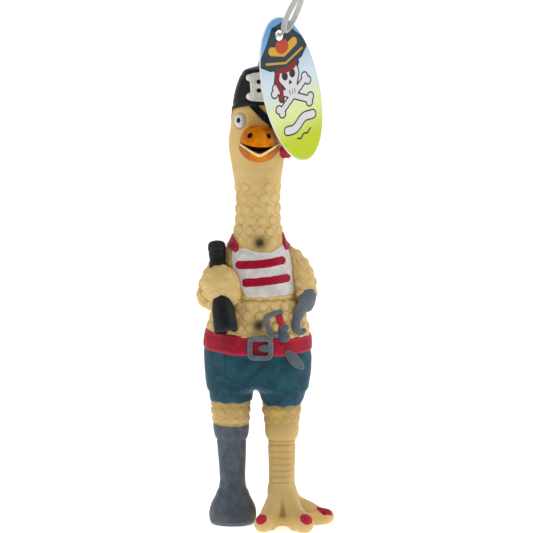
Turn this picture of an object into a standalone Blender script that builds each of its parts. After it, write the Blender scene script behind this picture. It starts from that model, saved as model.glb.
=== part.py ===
"""A rubber chicken dressed as a pirate: a hollow latex squeaky toy that stands on a peg leg and a foot.

The latex skin is one moulding on the real toy. Here it is cut where it bends (neck and thighs) and
where its colour changes. A reed squeaker plugs the mould's filling hole in the back. A nylon loop is
pinned through the crown of the cap and carries a card tag.

X is the toy's left (the viewer's right), -Y is its front, Z is up. The skin is modelled round its own
centre line, and the whole toy is then moved so that the origin is at the bottom centre of its box.
"""

import math

import bmesh
import bpy
import numpy as np
from mathutils import Matrix, Vector

MM = 0.001

# ---- driving dimensions, in millimetres -------------------------------------------------------
WALL = 2.0  # latex skin
HEAD_X = 0.6  # the head's middle, from the centre line
CAP_LIFT = 0.5  # the cap stands this far outside the head
GAP = 0.3  # between neighbouring pieces
RELIEF = 0.8  # thickness of a raised detail such as the shirt
STRIPE_RELIEF = 0.6

NECK_PIVOT = 162.0  # middle of the neck's bend: the head, cap and tag follow it up
NECK_LOW = NECK_PIVOT - 11.0
HEAD_LOW = NECK_PIVOT + 11.0  # the head's own rigid skin starts here
CAP_RIM = HEAD_LOW + 31.0
HEIGHT = HEAD_LOW + 52.0  # crown of the cap
BELT_TOP = 94.0
BELT_LOW = 86.5
BELT_SLOPE = 8.0  # degrees, dipping towards the front
SLOPE_ROOM = 12.0  # the belt's slope reaches this far above and below it
CROTCH = 66.0
THIGH_PIVOT = 56.0
HEM = THIGH_PIVOT + 5.5  # bottom of the shorts
LEG_TOP = THIGH_PIVOT - 5.5  # the rigid boot and shin start below this
BOOT_CUFF = 42.2

LEG_X = 12.4  # each leg from the centre line
THIGH_R = 10.6
SHIN_R = 6.4
SOLE_R = 11.1
TOE_R = 4.4
TOE_REACH = 26.5
TOE_ANGLES = (109.0, 62.0, 13.0)  # seen from above, from +X towards the front
SPUR_REACH = 10.5

SQUEAKER_Z = 104.0
SQUEAKER_R = 5.0
SQUEAKER_FLANGE_R = 7.0
SQUEAKER_FLANGE = 1.2
SQUEAKER_LENGTH = 10.0
SQUEAKER_BORE_R = 3.4
SQUEAKER_VENT_R = 1.6
SQUEAKER_NECK = -GAP  # the recess's floor, from the squeaker flange's inner face
REED_LENGTH = 6.0
REED_WIDTH = 2.4
REED_THICK = 0.2
REED_ROOT = 1.6  # how much of it is clamped
REED_CHANNEL = 7.4

TAG_LONG = 36.0  # half length of the oval card
TAG_SHORT = 18.2
TAG_THICK = 0.5
TAG_CENTRE = (16.2, -14.0, HEIGHT - 10.8)
TAG_TURN = 41.4  # the card's face turns this far from the front towards +X
TAG_LEAN = 17.5  # its top leans towards the centre line
TAG_HOLE_R = 2.6
TAG_HOLE_UP = 27.0  # from the card's centre

TAIL_R = 0.7  # nylon tail of the loop
TAIL_HOLE_R = 1.1
LOOP_LONG = 10.6  # half length of the loop's ring
LOOP_SHORT = 5.6
LOOP_BAND = 1.2
LOOP_WIDTH = 2.8
LOOP_TURN = 70.0  # of the ring's plane, from the front towards +X
LOOP_LEAN = 25.0
LOOP_BAR = 3.0  # half length of the bar that holds the loop inside the cap
LOOP_BAR_DEPTH = 5.2
PIN_AT = (HEAD_X, 0.0, HEIGHT)

SEGMENTS = 28

# Each station: height, centre x, centre y, half width, depth in front, depth behind.
TRUNK = [
    (48.0, 0.0, 0.0, 20.0, 13.0, 13.5),
    (61.0, 0.0, 0.0, 22.9, 15.0, 15.5),
    (68.0, 0.0, 0.0, 24.4, 16.6, 17.0),
    (76.0, 0.0, 0.0, 25.6, 17.6, 17.8),
    (86.0, 0.0, 0.0, 26.1, 18.2, 17.6),
    (96.0, 0.0, 0.0, 25.2, 18.2, 16.6),
    (104.0, 0.0, 0.0, 23.2, 17.2, 15.6),
    (112.0, 0.0, 0.0, 19.8, 15.8, 14.8),
    (122.0, 0.0, 0.0, 17.8, 14.8, 14.2),
    (131.0, 0.0, 0.0, 17.6, 14.0, 13.6),
    (137.0, 0.0, 0.0, 15.4, 12.9, 12.8),
    (142.0, 0.0, 0.0, 12.8, 11.8, 11.8),
    (147.0, 0.0, 0.0, 11.3, 11.1, 11.1),
    (NECK_LOW + 4.0, 0.0, 0.0, 10.6, 10.6, 10.6),
    (NECK_PIVOT, 0.0, 0.0, 10.5, 10.6, 10.6),
    (HEAD_LOW - 3.0, 0.0, 0.0, 11.5, 11.6, 11.4),
    (HEAD_LOW + 4.0, 0.0, 0.0, 12.5, 12.8, 12.4),
    (HEAD_LOW + 11.0, 0.2, 0.0, 13.8, 13.8, 13.8),
    (HEAD_LOW + 18.0, 0.5, 0.0, 14.4, 14.2, 14.6),
    (HEAD_LOW + 25.0, 0.6, 0.0, 14.0, 13.8, 14.6),
    (CAP_RIM, 0.6, 0.0, 13.1, 13.0, 14.0),
    (HEAD_LOW + 38.0, 0.6, 0.0, 11.9, 11.8, 12.6),
    (HEAD_LOW + 44.0, 0.6, 0.0, 10.9, 10.6, 11.2),
    (HEAD_LOW + 48.0, 0.6, 0.0, 9.2, 8.9, 9.2),
    (HEIGHT - 1.4, 0.6, 0.0, 6.6, 6.3, 6.5),
    (HEIGHT, 0.6, 0.0, 1.6, 1.5, 1.6),
]


def leg_stations(x, rows):
    """Round leg stations from (height, radius) pairs, all on one axis."""
    return [(z, x, 0.0, r, r, r) for z, r in rows]


THIGH_HIGH = 77.0  # the thighs end here, inside the hips
THIGH_ROWS = [
    (46.0, 8.3),
    (LEG_TOP, 8.7),
    (HEM, THIGH_R),
    (70.0, 11.6),
    (78.0, 11.8),
]
BOOT = leg_stations(
    -LEG_X,
    [
        (0.0, 0.86 * SOLE_R),
        (1.4, 0.965 * SOLE_R),
        (4.5, SOLE_R),
        (7.5, 0.985 * SOLE_R),
        (11.0, 0.89 * SOLE_R),
        (15.0, 0.72 * SOLE_R),
        (19.0, 1.0 * SHIN_R),
        (27.0, 0.99 * SHIN_R),
        (38.0, 1.06 * SHIN_R),
        (BOOT_CUFF, 1.11 * SHIN_R),
        (44.6, 1.28 * SHIN_R),
        (LEG_TOP + 4.0, 1.33 * SHIN_R),
    ],
)
SHIN = leg_stations(
    LEG_X,
    [
        (6.0, 1.12 * SHIN_R),
        (11.0, 1.1 * SHIN_R),
        (16.0, 1.02 * SHIN_R),
        (24.0, 0.97 * SHIN_R),
        (33.0, 1.0 * SHIN_R),
        (40.0, 1.06 * SHIN_R),
        (43.5, 1.18 * SHIN_R),
        (47.0, 1.31 * SHIN_R),
        (LEG_TOP + 4.0, 1.36 * SHIN_R),
    ],
)

# Arms: centre line points with a radius each.
BENT_ARM = [
    (-12.0, 1.0, 131.0, 6.0),
    (-19.0, -1.0, 125.0, 6.2),
    (-23.4, -3.0, 116.5, 5.8),
    (-24.2, -5.5, 110.6, 4.9),
    (-21.0, -9.0, 109.0, 4.0),
]
FIST_CENTRE = (-16.9, -12.2, 117.0)
FIST_SIZE = (8.8, 7.4, 8.4)
HOOK_ARM = [
    (12.0, 1.0, 131.5, 6.0),
    (18.8, -0.5, 126.5, 6.0),
    (22.2, -2.5, 120.0, 5.8),
    (23.6, -5.0, 114.5, 5.2),
]
HOOK_CUP = [
    (23.6, -6.2, 115.0, 4.3),
    (23.2, -8.0, 112.4, 4.6),
    (22.6, -9.6, 109.0, 4.0),
]
HOOK_BEND = [
    (22.2, -10.4, 107.0, 3.4),
    (20.4, -12.4, 102.6, 2.5),
    (19.0, -14.6, 98.6, 2.2),
    (19.9, -15.6, 95.4, 2.0),
    (22.2, -14.8, 94.6, 1.8),
]
SPYGLASS_TOP = (-19.8, -5.6, 138.5)
SPYGLASS_EYEPIECE_LOW = (-18.4, -7.6, 127.0)
SPYGLASS_EYEPIECE_R = 4.2
SPYGLASS_BARREL_TOP = (-17.6, -15.2, 108.6)
SPYGLASS_BARREL_LOW = (-16.4, -19.4, 95.4)
SPYGLASS_NARROW_R = 3.2
SPYGLASS_WIDE_R = 5.6

BEAK_WIDTH = 9.2  # half width of the bill
BEAK_REACH = 12.0  # in front of the face
BEAK_ROOT = 4.0  # inside it
BEAK_UPPER_Z = HEAD_LOW + 14.0
BEAK_UPPER_RISE = 8.0
BEAK_LOWER_DROP = 7.6
MOUTH_OPEN = 3.0

EYE_AT = (-8.7, -11.6, HEAD_LOW + 23.6)
EYE_SIZE = (2.8, 2.6, 3.6)
PUPIL_AT = (-9.4, -13.9, HEAD_LOW + 24.0)
PUPIL_SIZE = (1.0, 0.9, 1.3)

# Outlines of raised details seen from the front or the back, as (x, height).
SHIRT_FRONT = [
    (-14.6, 134.0),
    (-9.2, 134.6),
    (-1.0, 131.6),
    (6.0, 131.6),
    (11.8, 135.4),
    (14.4, 131.0),
    (16.6, 126.0),
    (17.2, 114.0),
    (15.6, 112.8),
    (3.0, 111.4),
    (-5.0, 111.4),
    (-8.6, 117.5),
    (-11.0, 122.5),
    (-14.6, 127.0),
]
SHIRT_BACK = [
    (-15.0, 134.0),
    (-8.0, 134.6),
    (0.0, 132.6),
    (8.0, 134.6),
    (15.0, 134.0),
    (16.4, 115.0),
    (-16.4, 115.0),
]
STRIPE_HIGH = [
    (-10.8, 127.0),
    (-9.0, 128.6),
    (2.0, 128.6),
    (11.0, 130.8),
    (13.8, 128.6),
    (13.0, 126.0),
    (-9.4, 125.0),
]
STRIPE_LOW = [
    (-7.4, 118.2),
    (-6.0, 120.6),
    (3.0, 120.2),
    (13.6, 122.0),
    (16.0, 119.0),
    (14.4, 117.6),
    (-6.0, 115.8),
]
STRAP_RIGHT = [
    (-15.6, 142.6),
    (-12.9, 142.3),
    (-9.6, 137.6),
    (-9.4, 135.4),
    (-11.2, 134.9),
    (-13.2, 134.6),
    (-18.6, 139.0),
]
STRAP_LEFT = [(15.6, 141.4), (12.6, 141.4), (12.3, 136.8), (13.2, 134.6), (14.6, 134.6), (18.6, 138.0)]
BUCKLE_AT = (1.2, 87.9)
BUCKLE_HALF = (6.4, 6.0)
BUCKLE_BAR = 2.6
EMBLEM_AT = (1.6, HEAD_LOW + 39.0)
HILT_TOP = [
    (3.4, 101.6),
    (3.8, 103.4),
    (7.0, 104.8),
    (11.4, 105.4),
    (11.6, 103.2),
    (7.2, 101.8),
    (8.4, 96.6),
    (9.9, 98.2),
    (13.0, 99.2),
    (15.0, 97.4),
    (14.8, 95.4),
    (15.6, 92.6),
    (14.0, 90.8),
    (10.0, 91.8),
    (9.0, 94.4),
    (6.0, 94.6),
]
GRIP = [(8.6, 101.4), (11.3, 102.5), (12.0, 99.4), (9.6, 98.5)]
BLADE = [
    (13.8, 84.0),
    (16.0, 84.6),
    (18.6, 83.4),
    (22.0, 78.4),
    (22.2, 76.4),
    (20.0, 76.4),
    (16.6, 78.6),
    (14.2, 81.4),
]
LENS_R = 4.2
LENS_THICK = 1.0
PATCH_AT = (9.0, HEAD_LOW + 23.2)
PATCH_HALF = (4.4, 5.0)
PATCH_STRAP = [
    (-4.8, CAP_RIM - GAP),
    (-1.2, CAP_RIM - GAP),
    (2.0, HEAD_LOW + 27.6),
    (6.0, HEAD_LOW + 25.6),
    (8.0, HEAD_LOW + 21.0),
    (4.6, HEAD_LOW + 20.4),
    (2.4, HEAD_LOW + 23.4),
]
SCARF_LOW = HEAD_LOW + 24.4
SCARF_TAIL = [
    (12.4, 5.0, HEAD_LOW + 24.0, 2.6),
    (14.2, 2.4, HEAD_LOW + 18.0, 3.0),
    (14.6, -1.4, HEAD_LOW + 12.0, 3.6),
    (13.2, -4.4, HEAD_LOW + 8.4, 3.0),
]
SCARF_KNOT_AT = (13.6, 6.6, HEAD_LOW + 27.4)
SCARF_KNOT = (3.6, 3.6, 3.0)

COLOURS = {
    "latex_cream": ((0.72, 0.56, 0.32), 0.55, 0.0),
    "paint_black": ((0.018, 0.018, 0.02), 0.45, 0.0),
    "paint_white": ((0.78, 0.76, 0.74), 0.5, 0.0),
    "paint_orange": ((0.86, 0.33, 0.02), 0.4, 0.0),
    "paint_red": ((0.5, 0.02, 0.06), 0.42, 0.0),
    "paint_teal": ((0.04, 0.13, 0.18), 0.45, 0.0),
    "paint_grey": ((0.14, 0.16, 0.19), 0.4, 0.0),
    "mouth_brown": ((0.06, 0.015, 0.003), 0.6, 0.0),
    "squeaker_plastic": ((0.85, 0.84, 0.8), 0.35, 0.0),
    "reed_plastic": ((0.75, 0.2, 0.1), 0.3, 0.0),
    "tag_card": ((0.45, 0.66, 0.8), 0.35, 0.0),
    "loop_nylon": ((0.7, 0.7, 0.68), 0.3, 0.0),
}


# ---- scene ------------------------------------------------------------------------------------
def clear_scene():
    for thing in list(bpy.data.objects):
        bpy.data.objects.remove(thing)


def make_collection(name):
    collection = bpy.data.collections.new(name)
    bpy.context.scene.collection.children.link(collection)
    return collection


def make_material(slot):
    colour, roughness, metallic = COLOURS[slot]
    material = bpy.data.materials.get(slot) or bpy.data.materials.new(slot)
    material.use_nodes = True
    shader = material.node_tree.nodes["Principled BSDF"]
    shader.inputs["Base Color"].default_value = (*colour, 1.0)
    shader.inputs["Roughness"].default_value = roughness
    shader.inputs["Metallic"].default_value = metallic
    return material


def new_object(name, mesh):
    thing = bpy.data.objects.new(name, mesh)
    bpy.context.scene.collection.objects.link(thing)
    return thing


def evaluated_mesh(thing):
    """The object's mesh with its modifiers applied and its doubles welded."""
    bpy.context.view_layer.update()
    graph = bpy.context.evaluated_depsgraph_get()
    mesh = bpy.data.meshes.new_from_object(thing.evaluated_get(graph))
    welded = bmesh.new()
    welded.from_mesh(mesh)
    bmesh.ops.remove_doubles(welded, verts=welded.verts, dist=1e-6)
    welded.to_mesh(mesh)
    welded.free()
    return mesh


def as_mesh_object(thing):
    """The same shape as a plain mesh at the world origin. Curves become meshes here."""
    mesh = evaluated_mesh(thing)
    mesh.transform(thing.matrix_world)
    name = thing.name
    bpy.data.objects.remove(thing)
    return new_object(name, mesh)


def combine(target, tool, operation):
    """Applies one Boolean to target with tool, which is used up."""
    modifier = target.modifiers.new(operation, "BOOLEAN")
    modifier.operation = operation
    modifier.object = tool
    mesh = evaluated_mesh(target)
    target.modifiers.clear()
    target.data = mesh
    bpy.data.objects.remove(tool)
    return target


def join(target, *tools):
    for tool in tools:
        combine(target, tool, "UNION")
    return target


def cut(target, *tools):
    for tool in tools:
        combine(target, tool, "DIFFERENCE")
    return target


def keep_inside(target, *tools):
    for tool in tools:
        combine(target, tool, "INTERSECT")
    return target


# ---- shapes -----------------------------------------------------------------------------------
def smooth_rows(stations, heights):
    """The station columns at each height, by cubic Hermite curves with centred slopes."""
    table = np.array(stations, float)
    z, values = table[:, 0], table[:, 1:]
    slopes = np.gradient(values, z, axis=0)
    i = np.clip(np.searchsorted(z, heights, side="right") - 1, 0, len(z) - 2)
    span = (z[i + 1] - z[i])[:, None]
    t = ((heights - z[i]) / span[:, 0])[:, None]
    return (
        values[i] * (2 * t**3 - 3 * t**2 + 1)
        + slopes[i] * span * (t**3 - 2 * t**2 + t)
        + values[i + 1] * (3 * t**2 - 2 * t**3)
        + slopes[i + 1] * span * (t**3 - t**2)
    )


def ring_heights(stations, low, high, step):
    """Heights from low to high: every station between them, and more where they are over a step apart."""
    inner = [s[0] for s in stations if low + 0.3 < s[0] < high - 0.3]
    marks = [low, *inner, high]
    heights = []
    for a, b in zip(marks, marks[1:]):
        count = max(1, round((b - a) / step))
        heights += [a + (b - a) * k / count for k in range(count)]
    return np.array(heights + [high])


def loft(name, stations, low, high, grow=0.0, step=5.0, segments=SEGMENTS):
    """A closed body through oval rings, grow millimetres outside the stations, with flat ends."""
    heights = ring_heights(stations, low, high, step)
    rows = smooth_rows(stations, heights)
    angles = np.arange(segments) * 2 * math.pi / segments
    points = []
    for z, (cx, cy, width, front, back) in zip(heights, rows):
        depth = np.where(np.sin(angles) < 0, front, back) + grow
        x = cx + (width + grow) * np.cos(angles)
        y = cy + depth * np.sin(angles)
        points += [(a * MM, b * MM, z * MM) for a, b in zip(x, y)]
    faces = []
    for ring in range(len(heights) - 1):
        for k in range(segments):
            here, beside = ring * segments + k, ring * segments + (k + 1) % segments
            faces.append((here, beside, beside + segments, here + segments))
    last = (len(heights) - 1) * segments
    faces.append(tuple(reversed(range(segments))))
    faces.append(tuple(range(last, last + segments)))
    mesh = bpy.data.meshes.new(name)
    mesh.from_pydata(points, [], faces)
    return new_object(name, mesh)


def ball(name, centre, size, rings=10, segments=16):
    """An ellipsoid from a sphere primitive."""
    mesh = bpy.data.meshes.new(name)
    shape = bmesh.new()
    bmesh.ops.create_uvsphere(shape, u_segments=segments, v_segments=rings, radius=1.0)
    shape.to_mesh(mesh)
    shape.free()
    stretch = Matrix.Diagonal((*[s * MM for s in size], 1.0))
    mesh.transform(Matrix.Translation([c * MM for c in centre]) @ stretch)
    return new_object(name, mesh)


def box(name, low, high):
    mesh = bpy.data.meshes.new(name)
    shape = bmesh.new()
    bmesh.ops.create_cube(shape, size=1.0)
    shape.to_mesh(mesh)
    shape.free()
    low, high = Vector(low) * MM, Vector(high) * MM
    mesh.transform(Matrix.Translation((low + high) / 2) @ Matrix.Diagonal((*(high - low), 1.0)))
    return new_object(name, mesh)


def turned(name, profile, start, direction, segments=20):
    """A body turned round a line from start: profile is (distance along it, radius) pairs."""
    mesh = bpy.data.meshes.new(name)
    points = [(0.0, 0.0, profile[-1][0] * MM)]
    points += [(r * MM, 0.0, z * MM) for z, r in reversed(profile)]
    points += [(0.0, 0.0, profile[0][0] * MM)]
    mesh.from_pydata(points, [(i, i + 1) for i in range(len(points) - 1)], [])
    thing = new_object(name, mesh)
    screw = thing.modifiers.new("turn", "SCREW")
    screw.steps = screw.render_steps = segments
    screw.use_merge_vertices = True
    screw.merge_threshold = 0.000001
    thing.rotation_mode = "QUATERNION"
    thing.rotation_quaternion = Vector(direction).to_track_quat("Z", "Y")
    thing.location = Vector(start) * MM
    return as_mesh_object(thing)


def turned_between(name, start, end, profile, segments=20):
    """turned() from start to end: profile is (share of the way, radius) pairs."""
    line = Vector(end) - Vector(start)
    return turned(name, [(t * line.length, r) for t, r in profile], start, line, segments)


def limb(name, points, grow=0.0, resolution=3, round_ends=True):
    """A tube along a smooth curve, with a radius at each point. Rounded ends go past the last points."""
    curve = bpy.data.curves.new(name, "CURVE")
    curve.dimensions = "3D"
    curve.bevel_depth = MM
    curve.bevel_resolution = resolution
    curve.use_fill_caps = True
    rows = [(Vector(p[:3]), p[3] + grow) for p in points]
    if round_ends:
        rows = end_rows(rows[1], rows[0]) + rows[1:-1] + list(reversed(end_rows(rows[-2], rows[-1])))
    spline = curve.splines.new("POLY")
    places = bend_points(rows)
    spline.points.add(len(places) - 1)
    for point, (place, radius) in zip(spline.points, places):
        point.co = (*(place * MM), 1.0)
        point.radius = radius
    return as_mesh_object(new_object(name, curve))


def end_rows(inner, last):
    """A rounded end: the last point, and three more past it whose radii shrink like a dome's."""
    along = (last[0] - inner[0]).normalized()
    place, radius = last
    shares = (math.radians(80), math.radians(60), math.radians(35))
    domes = [(place + along * radius * math.sin(a) * 0.8, radius * math.cos(a)) for a in shares]
    return [*domes, last]


def bend_points(rows, between=2):
    """Points and radii along a Catmull-Rom curve through the rows."""
    places = [rows[0], *rows, rows[-1]]
    made = []
    for (p0, r0), (p1, r1), (p2, r2), (p3, r3) in zip(places, places[1:], places[2:], places[3:]):
        for k in range(between):
            t = k / between
            weights = (
                -0.5 * t + t**2 - 0.5 * t**3,
                1 - 2.5 * t**2 + 1.5 * t**3,
                0.5 * t + 2 * t**2 - 1.5 * t**3,
                -0.5 * t**2 + 0.5 * t**3,
            )
            place = p0 * weights[0] + p1 * weights[1] + p2 * weights[2] + p3 * weights[3]
            made.append((place, r1 + (r2 - r1) * t))
    return [*made, rows[-1]]


def outline_prism(name, corners, y_low, y_high, bevel=0.0):
    """A flat outline in X and Z, pushed through from y_low to y_high. Bevel rounds its corners."""
    curve = bpy.data.curves.new(name, "CURVE")
    curve.dimensions = "2D"
    curve.fill_mode = "BOTH"
    curve.extrude = (y_high - y_low) / 2 * MM
    spline = curve.splines.new("POLY")
    rounded = round_corners(corners, bevel) if bevel else corners
    spline.points.add(len(rounded) - 1)
    for point, (x, z) in zip(spline.points, rounded):
        point.co = (x * MM, z * MM, 0.0, 1.0)
    spline.use_cyclic_u = True
    thing = new_object(name, curve)
    thing.rotation_euler = (math.pi / 2, 0.0, 0.0)
    thing.location = (0.0, (y_low + y_high) / 2 * MM, 0.0)
    return as_mesh_object(thing)


def round_corners(corners, radius, steps=3):
    """Each corner replaced by a short curve that starts and ends radius away from it."""
    made = []
    count = len(corners)
    for i, corner in enumerate(corners):
        here = Vector(corner)
        before, after = Vector(corners[i - 1]) - here, Vector(corners[(i + 1) % count]) - here
        start = here + before.normalized() * min(radius, before.length * 0.45)
        end = here + after.normalized() * min(radius, after.length * 0.45)
        for k in range(steps + 1):
            t = k / steps
            made.append(tuple(start * (1 - t) ** 2 + here * 2 * t * (1 - t) + end * t**2))
    return made


def oval_outline(centre, half_width, half_height, count=20, lean=0.0):
    turn = math.radians(lean)
    corners = []
    for k in range(count):
        a = 2 * math.pi * k / count
        u, v = half_width * math.cos(a), half_height * math.sin(a)
        across, up = u * math.cos(turn) - v * math.sin(turn), u * math.sin(turn) + v * math.cos(turn)
        corners.append((centre[0] + across, centre[1] + up))
    return corners


def slab(name, low, high, slope=0.0):
    """A wide block between two heights at y = 0, both sloping the same way towards the back."""
    thing = box(name, (-60.0, -60.0, low), (60.0, 60.0, high))
    shear = Matrix.Identity(4)
    shear[2][1] = math.tan(math.radians(slope))
    thing.data.transform(shear)
    return thing


# ---- the latex skin -----------------------------------------------------------------------------
def trunk_body(name, low, high, grow=0.0, step=5.0):
    return loft(name, TRUNK, low, high, grow, step)


def arms(grow=0.0):
    return [
        limb("bent_arm", BENT_ARM, grow),
        ball("fist", FIST_CENTRE, [s + grow for s in FIST_SIZE], 12, 18),
        limb("hook_arm", HOOK_ARM, grow),
    ]


def torso_body(name, grow=0.0, low=BELT_LOW - 6.0, high=NECK_LOW):
    """The outside of the chest and belly with both arms."""
    return join(trunk_body(name, low, high, grow), *arms(grow))


def cavity(low, high):
    """The inside of the trunk, past both ends of the stretch."""
    return loft("cavity", TRUNK, low - 1.0, high + 1.0, -WALL, 7.0, 24)


def ring_of_skin(name, stations, low, high, segments=SEGMENTS):
    """A tube of skin with open ends between two heights."""
    ring = loft(name, stations, low, high, 0.0, 3.5, segments)
    return cut(ring, loft("inside", stations, low - 1.0, high + 1.0, -WALL, 5.0, segments))


def squeaker_seat():
    """The filling hole in the back, with a flat recess round it for the squeaker's flange."""
    back = squeaker_back()
    hole = turned(
        "hole",
        [
            (-8.0, SQUEAKER_R + GAP),
            (SQUEAKER_NECK, SQUEAKER_R + GAP),
            (SQUEAKER_NECK, SQUEAKER_FLANGE_R + GAP),
            (10.0, SQUEAKER_FLANGE_R + GAP),
        ],
        (0.0, back, SQUEAKER_Z),
        (0, 1, 0),
        24,
    )
    return hole


def squeaker_back():
    """How far back the flange's inner face sits, for a rim flush with the skin at the recess's sides."""
    width, back = smooth_rows(TRUNK, np.array([SQUEAKER_Z]))[0][[2, 4]]
    edge = math.sqrt(max(0.0, 1 - ((SQUEAKER_FLANGE_R + GAP) / width) ** 2))
    return back * edge - SQUEAKER_FLANGE


def build_torso_skin():
    skin = cut(torso_body("torso_skin"), cavity(BELT_LOW - 6.0, NECK_LOW))
    boss = turned(
        "boss",
        [(-1.6 - WALL, SQUEAKER_FLANGE_R + 0.8), (0.6, SQUEAKER_FLANGE_R + 1.6)],
        (0.0, squeaker_back(), SQUEAKER_Z),
        (0, 1, 0),
        24,
    )
    join(skin, keep_inside(boss, trunk_body("limit", SQUEAKER_Z - 14.0, SQUEAKER_Z + 14.0)))
    cut(skin, squeaker_seat())
    return keep_inside(skin, slab("above_belt", BELT_TOP + GAP, HEAD_LOW, BELT_SLOPE))


def build_belt():
    low, high = BELT_LOW - SLOPE_ROOM, BELT_TOP + SLOPE_ROOM
    belt = cut(trunk_body("belt", low, high, RELIEF), cavity(low, high))
    return keep_inside(belt, slab("band", BELT_LOW, BELT_TOP, BELT_SLOPE))


def build_shorts():
    high = BELT_TOP + SLOPE_ROOM
    shorts = trunk_body("shorts", CROTCH, high)
    inside = cavity(CROTCH + WALL, high)
    for side in (-1, 1):
        rows = leg_stations(side * LEG_X, THIGH_ROWS)
        join(shorts, loft("thigh", rows, HEM, THIGH_HIGH))
        join(inside, loft("thigh_inside", rows, HEM - 1.0, THIGH_HIGH - 1.0, -WALL, 5.0))
    cut(shorts, inside)
    return keep_inside(shorts, slab("below_belt", 40.0, BELT_LOW - GAP, BELT_SLOPE))


def build_thigh(name, side):
    return ring_of_skin(name, leg_stations(side * LEG_X, THIGH_ROWS), LEG_TOP + GAP, HEM - GAP)


def build_neck():
    return ring_of_skin("neck_skin", TRUNK, NECK_LOW + GAP, HEAD_LOW - GAP)


def build_head():
    head = trunk_body("head_skin", HEAD_LOW, CAP_RIM - GAP, 0.0, 4.5)
    return cut(head, cavity(HEAD_LOW, CAP_RIM))


def build_cap():
    cap = trunk_body("pirate_cap", CAP_RIM, HEIGHT, CAP_LIFT, 3.0)
    cut(cap, loft("inside", TRUNK, CAP_RIM - 1.0, HEIGHT - WALL, CAP_LIFT - WALL, 4.0, 24))
    hole = turned("hole", [(-8.0, TAIL_HOLE_R), (6.0, TAIL_HOLE_R)], PIN_AT, (0, 0, 1), 12)
    return cut(cap, hole)


def build_peg_boot():
    boot = loft("peg_boot", BOOT, 0.0, LEG_TOP, 0.0, 4.5)
    return cut(boot, loft("inside", BOOT, WALL, LEG_TOP + 1.0, -WALL, 5.0, 20))


def build_bird_foot():
    foot = loft("bird_foot", SHIN, 6.0, LEG_TOP, 0.0, 4.5)
    for i, angle in enumerate(TOE_ANGLES):
        a = math.radians(angle)
        join(foot, limb(f"toe_{i}", toe_points(a, TOE_REACH), 0.0, 3))
    back = math.radians(TOE_ANGLES[1] + 180.0)
    join(foot, limb("spur", toe_points(back, SPUR_REACH), 0.0, 3))
    cut(foot, loft("inside", SHIN, 12.0, LEG_TOP + 1.0, -WALL, 6.0, 20))
    return cut(foot, box("ground", (-80.0, -80.0, -20.0), (80.0, 80.0, 0.0)))


def toe_points(angle, reach):
    """A toe's centre line: from the ankle down to its tip near the ground."""
    rows = ((0.0, 13.0, 5.0), (0.28, 9.6, 5.0), (0.62, 5.4, 4.7), (0.9, 3.9, TOE_R))
    return [
        (LEG_X + t * reach * math.cos(angle), -t * reach * math.sin(angle), z, r) for t, z, r in rows
    ]


# ---- raised and painted details -------------------------------------------------------------------
def plate_on_trunk(name, corners, lift, thick, low, high, bevel=0.0, back=False):
    """A thin plate on the trunk, lift outside the skin, cut to an outline seen from the front or back."""
    plate = trunk_body(name, low, high, lift + thick, 3.5)
    cut(plate, trunk_body("under", low - 1.0, high + 1.0, lift, 3.5))
    depth = (0.0, 60.0) if back else (-60.0, 0.0)
    return keep_inside(plate, outline_prism("outline", corners, *depth, bevel))


def clear_of_arms(thing):
    return cut(thing, *arms(GAP))


def build_shirt(name, corners, back):
    plate = plate_on_trunk(name, corners, GAP, RELIEF, 106.0, 138.0, 1.0, back)
    return clear_of_arms(plate)


def build_stripe(name, corners):
    lift = 2 * GAP + RELIEF
    return clear_of_arms(plate_on_trunk(name, corners, lift, STRIPE_RELIEF, 106.0, 138.0, 1.4))


def build_strap(name, corners):
    """A shoulder strap, which wraps over the edge of the shoulder from front to back."""
    plate = trunk_body(name, 128.0, 148.0, GAP + RELIEF, 2.5)
    cut(plate, trunk_body("under", 127.0, 149.0, GAP, 2.5))
    keep_inside(plate, outline_prism("outline", corners, -60.0, 60.0, 0.8))
    return clear_of_arms(plate)


def rectangle(centre, half):
    (x, z), (w, h) = centre, half
    return [(x - w, z - h), (x + w, z - h), (x + w, z + h), (x - w, z + h)]


def build_buckle():
    lift = RELIEF + GAP
    outer = rectangle(BUCKLE_AT, BUCKLE_HALF)
    frame = plate_on_trunk("buckle_frame", outer, lift, 1.4, 76.0, 100.0, 1.2)
    hollow = rectangle(BUCKLE_AT, [h - BUCKLE_BAR for h in BUCKLE_HALF])
    return cut(frame, outline_prism("window", hollow, -60.0, 0.0, 0.6))


def build_buckle_tongue():
    x, z = BUCKLE_AT
    reach = BUCKLE_HALF[0] - BUCKLE_BAR - GAP
    leaf = oval_outline((x + 0.6, z), reach - 0.6, 1.7, 16)
    return plate_on_trunk("buckle_tongue", leaf, RELIEF + GAP, 1.1, 76.0, 100.0)


def build_hilt():
    hilt = plate_on_trunk("dagger_hilt", HILT_TOP, RELIEF + GAP, 1.8, 86.0, 110.0, 1.0)
    room = rectangle(BUCKLE_AT, [h + GAP for h in BUCKLE_HALF])
    return cut(hilt, outline_prism("buckle_room", room, -60.0, 0.0))


def build_grip():
    return plate_on_trunk("dagger_grip", GRIP, RELIEF + GAP, 1.3, 90.0, 110.0)


def build_blade():
    blade = plate_on_trunk("dagger_blade", BLADE, GAP, 1.4, 72.0, 90.0, 0.8)
    return cut(blade, slab("belt_room", BELT_LOW - GAP, 140.0, BELT_SLOPE))


def build_hook_cup():
    return clear_of_trunk(cut(limb("hook_cup", HOOK_CUP), limb("room", HOOK_ARM, GAP)))


def clear_of_trunk(thing):
    return cut(thing, trunk_body("room", 80.0, 145.0, GAP))


def build_hook():
    hook = cut(limb("hook", HOOK_BEND), limb("room", HOOK_CUP, GAP))
    return clear_of_trunk(cut(hook, trunk_body("belt_room", 80.0, 96.0, RELIEF + GAP)))


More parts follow.
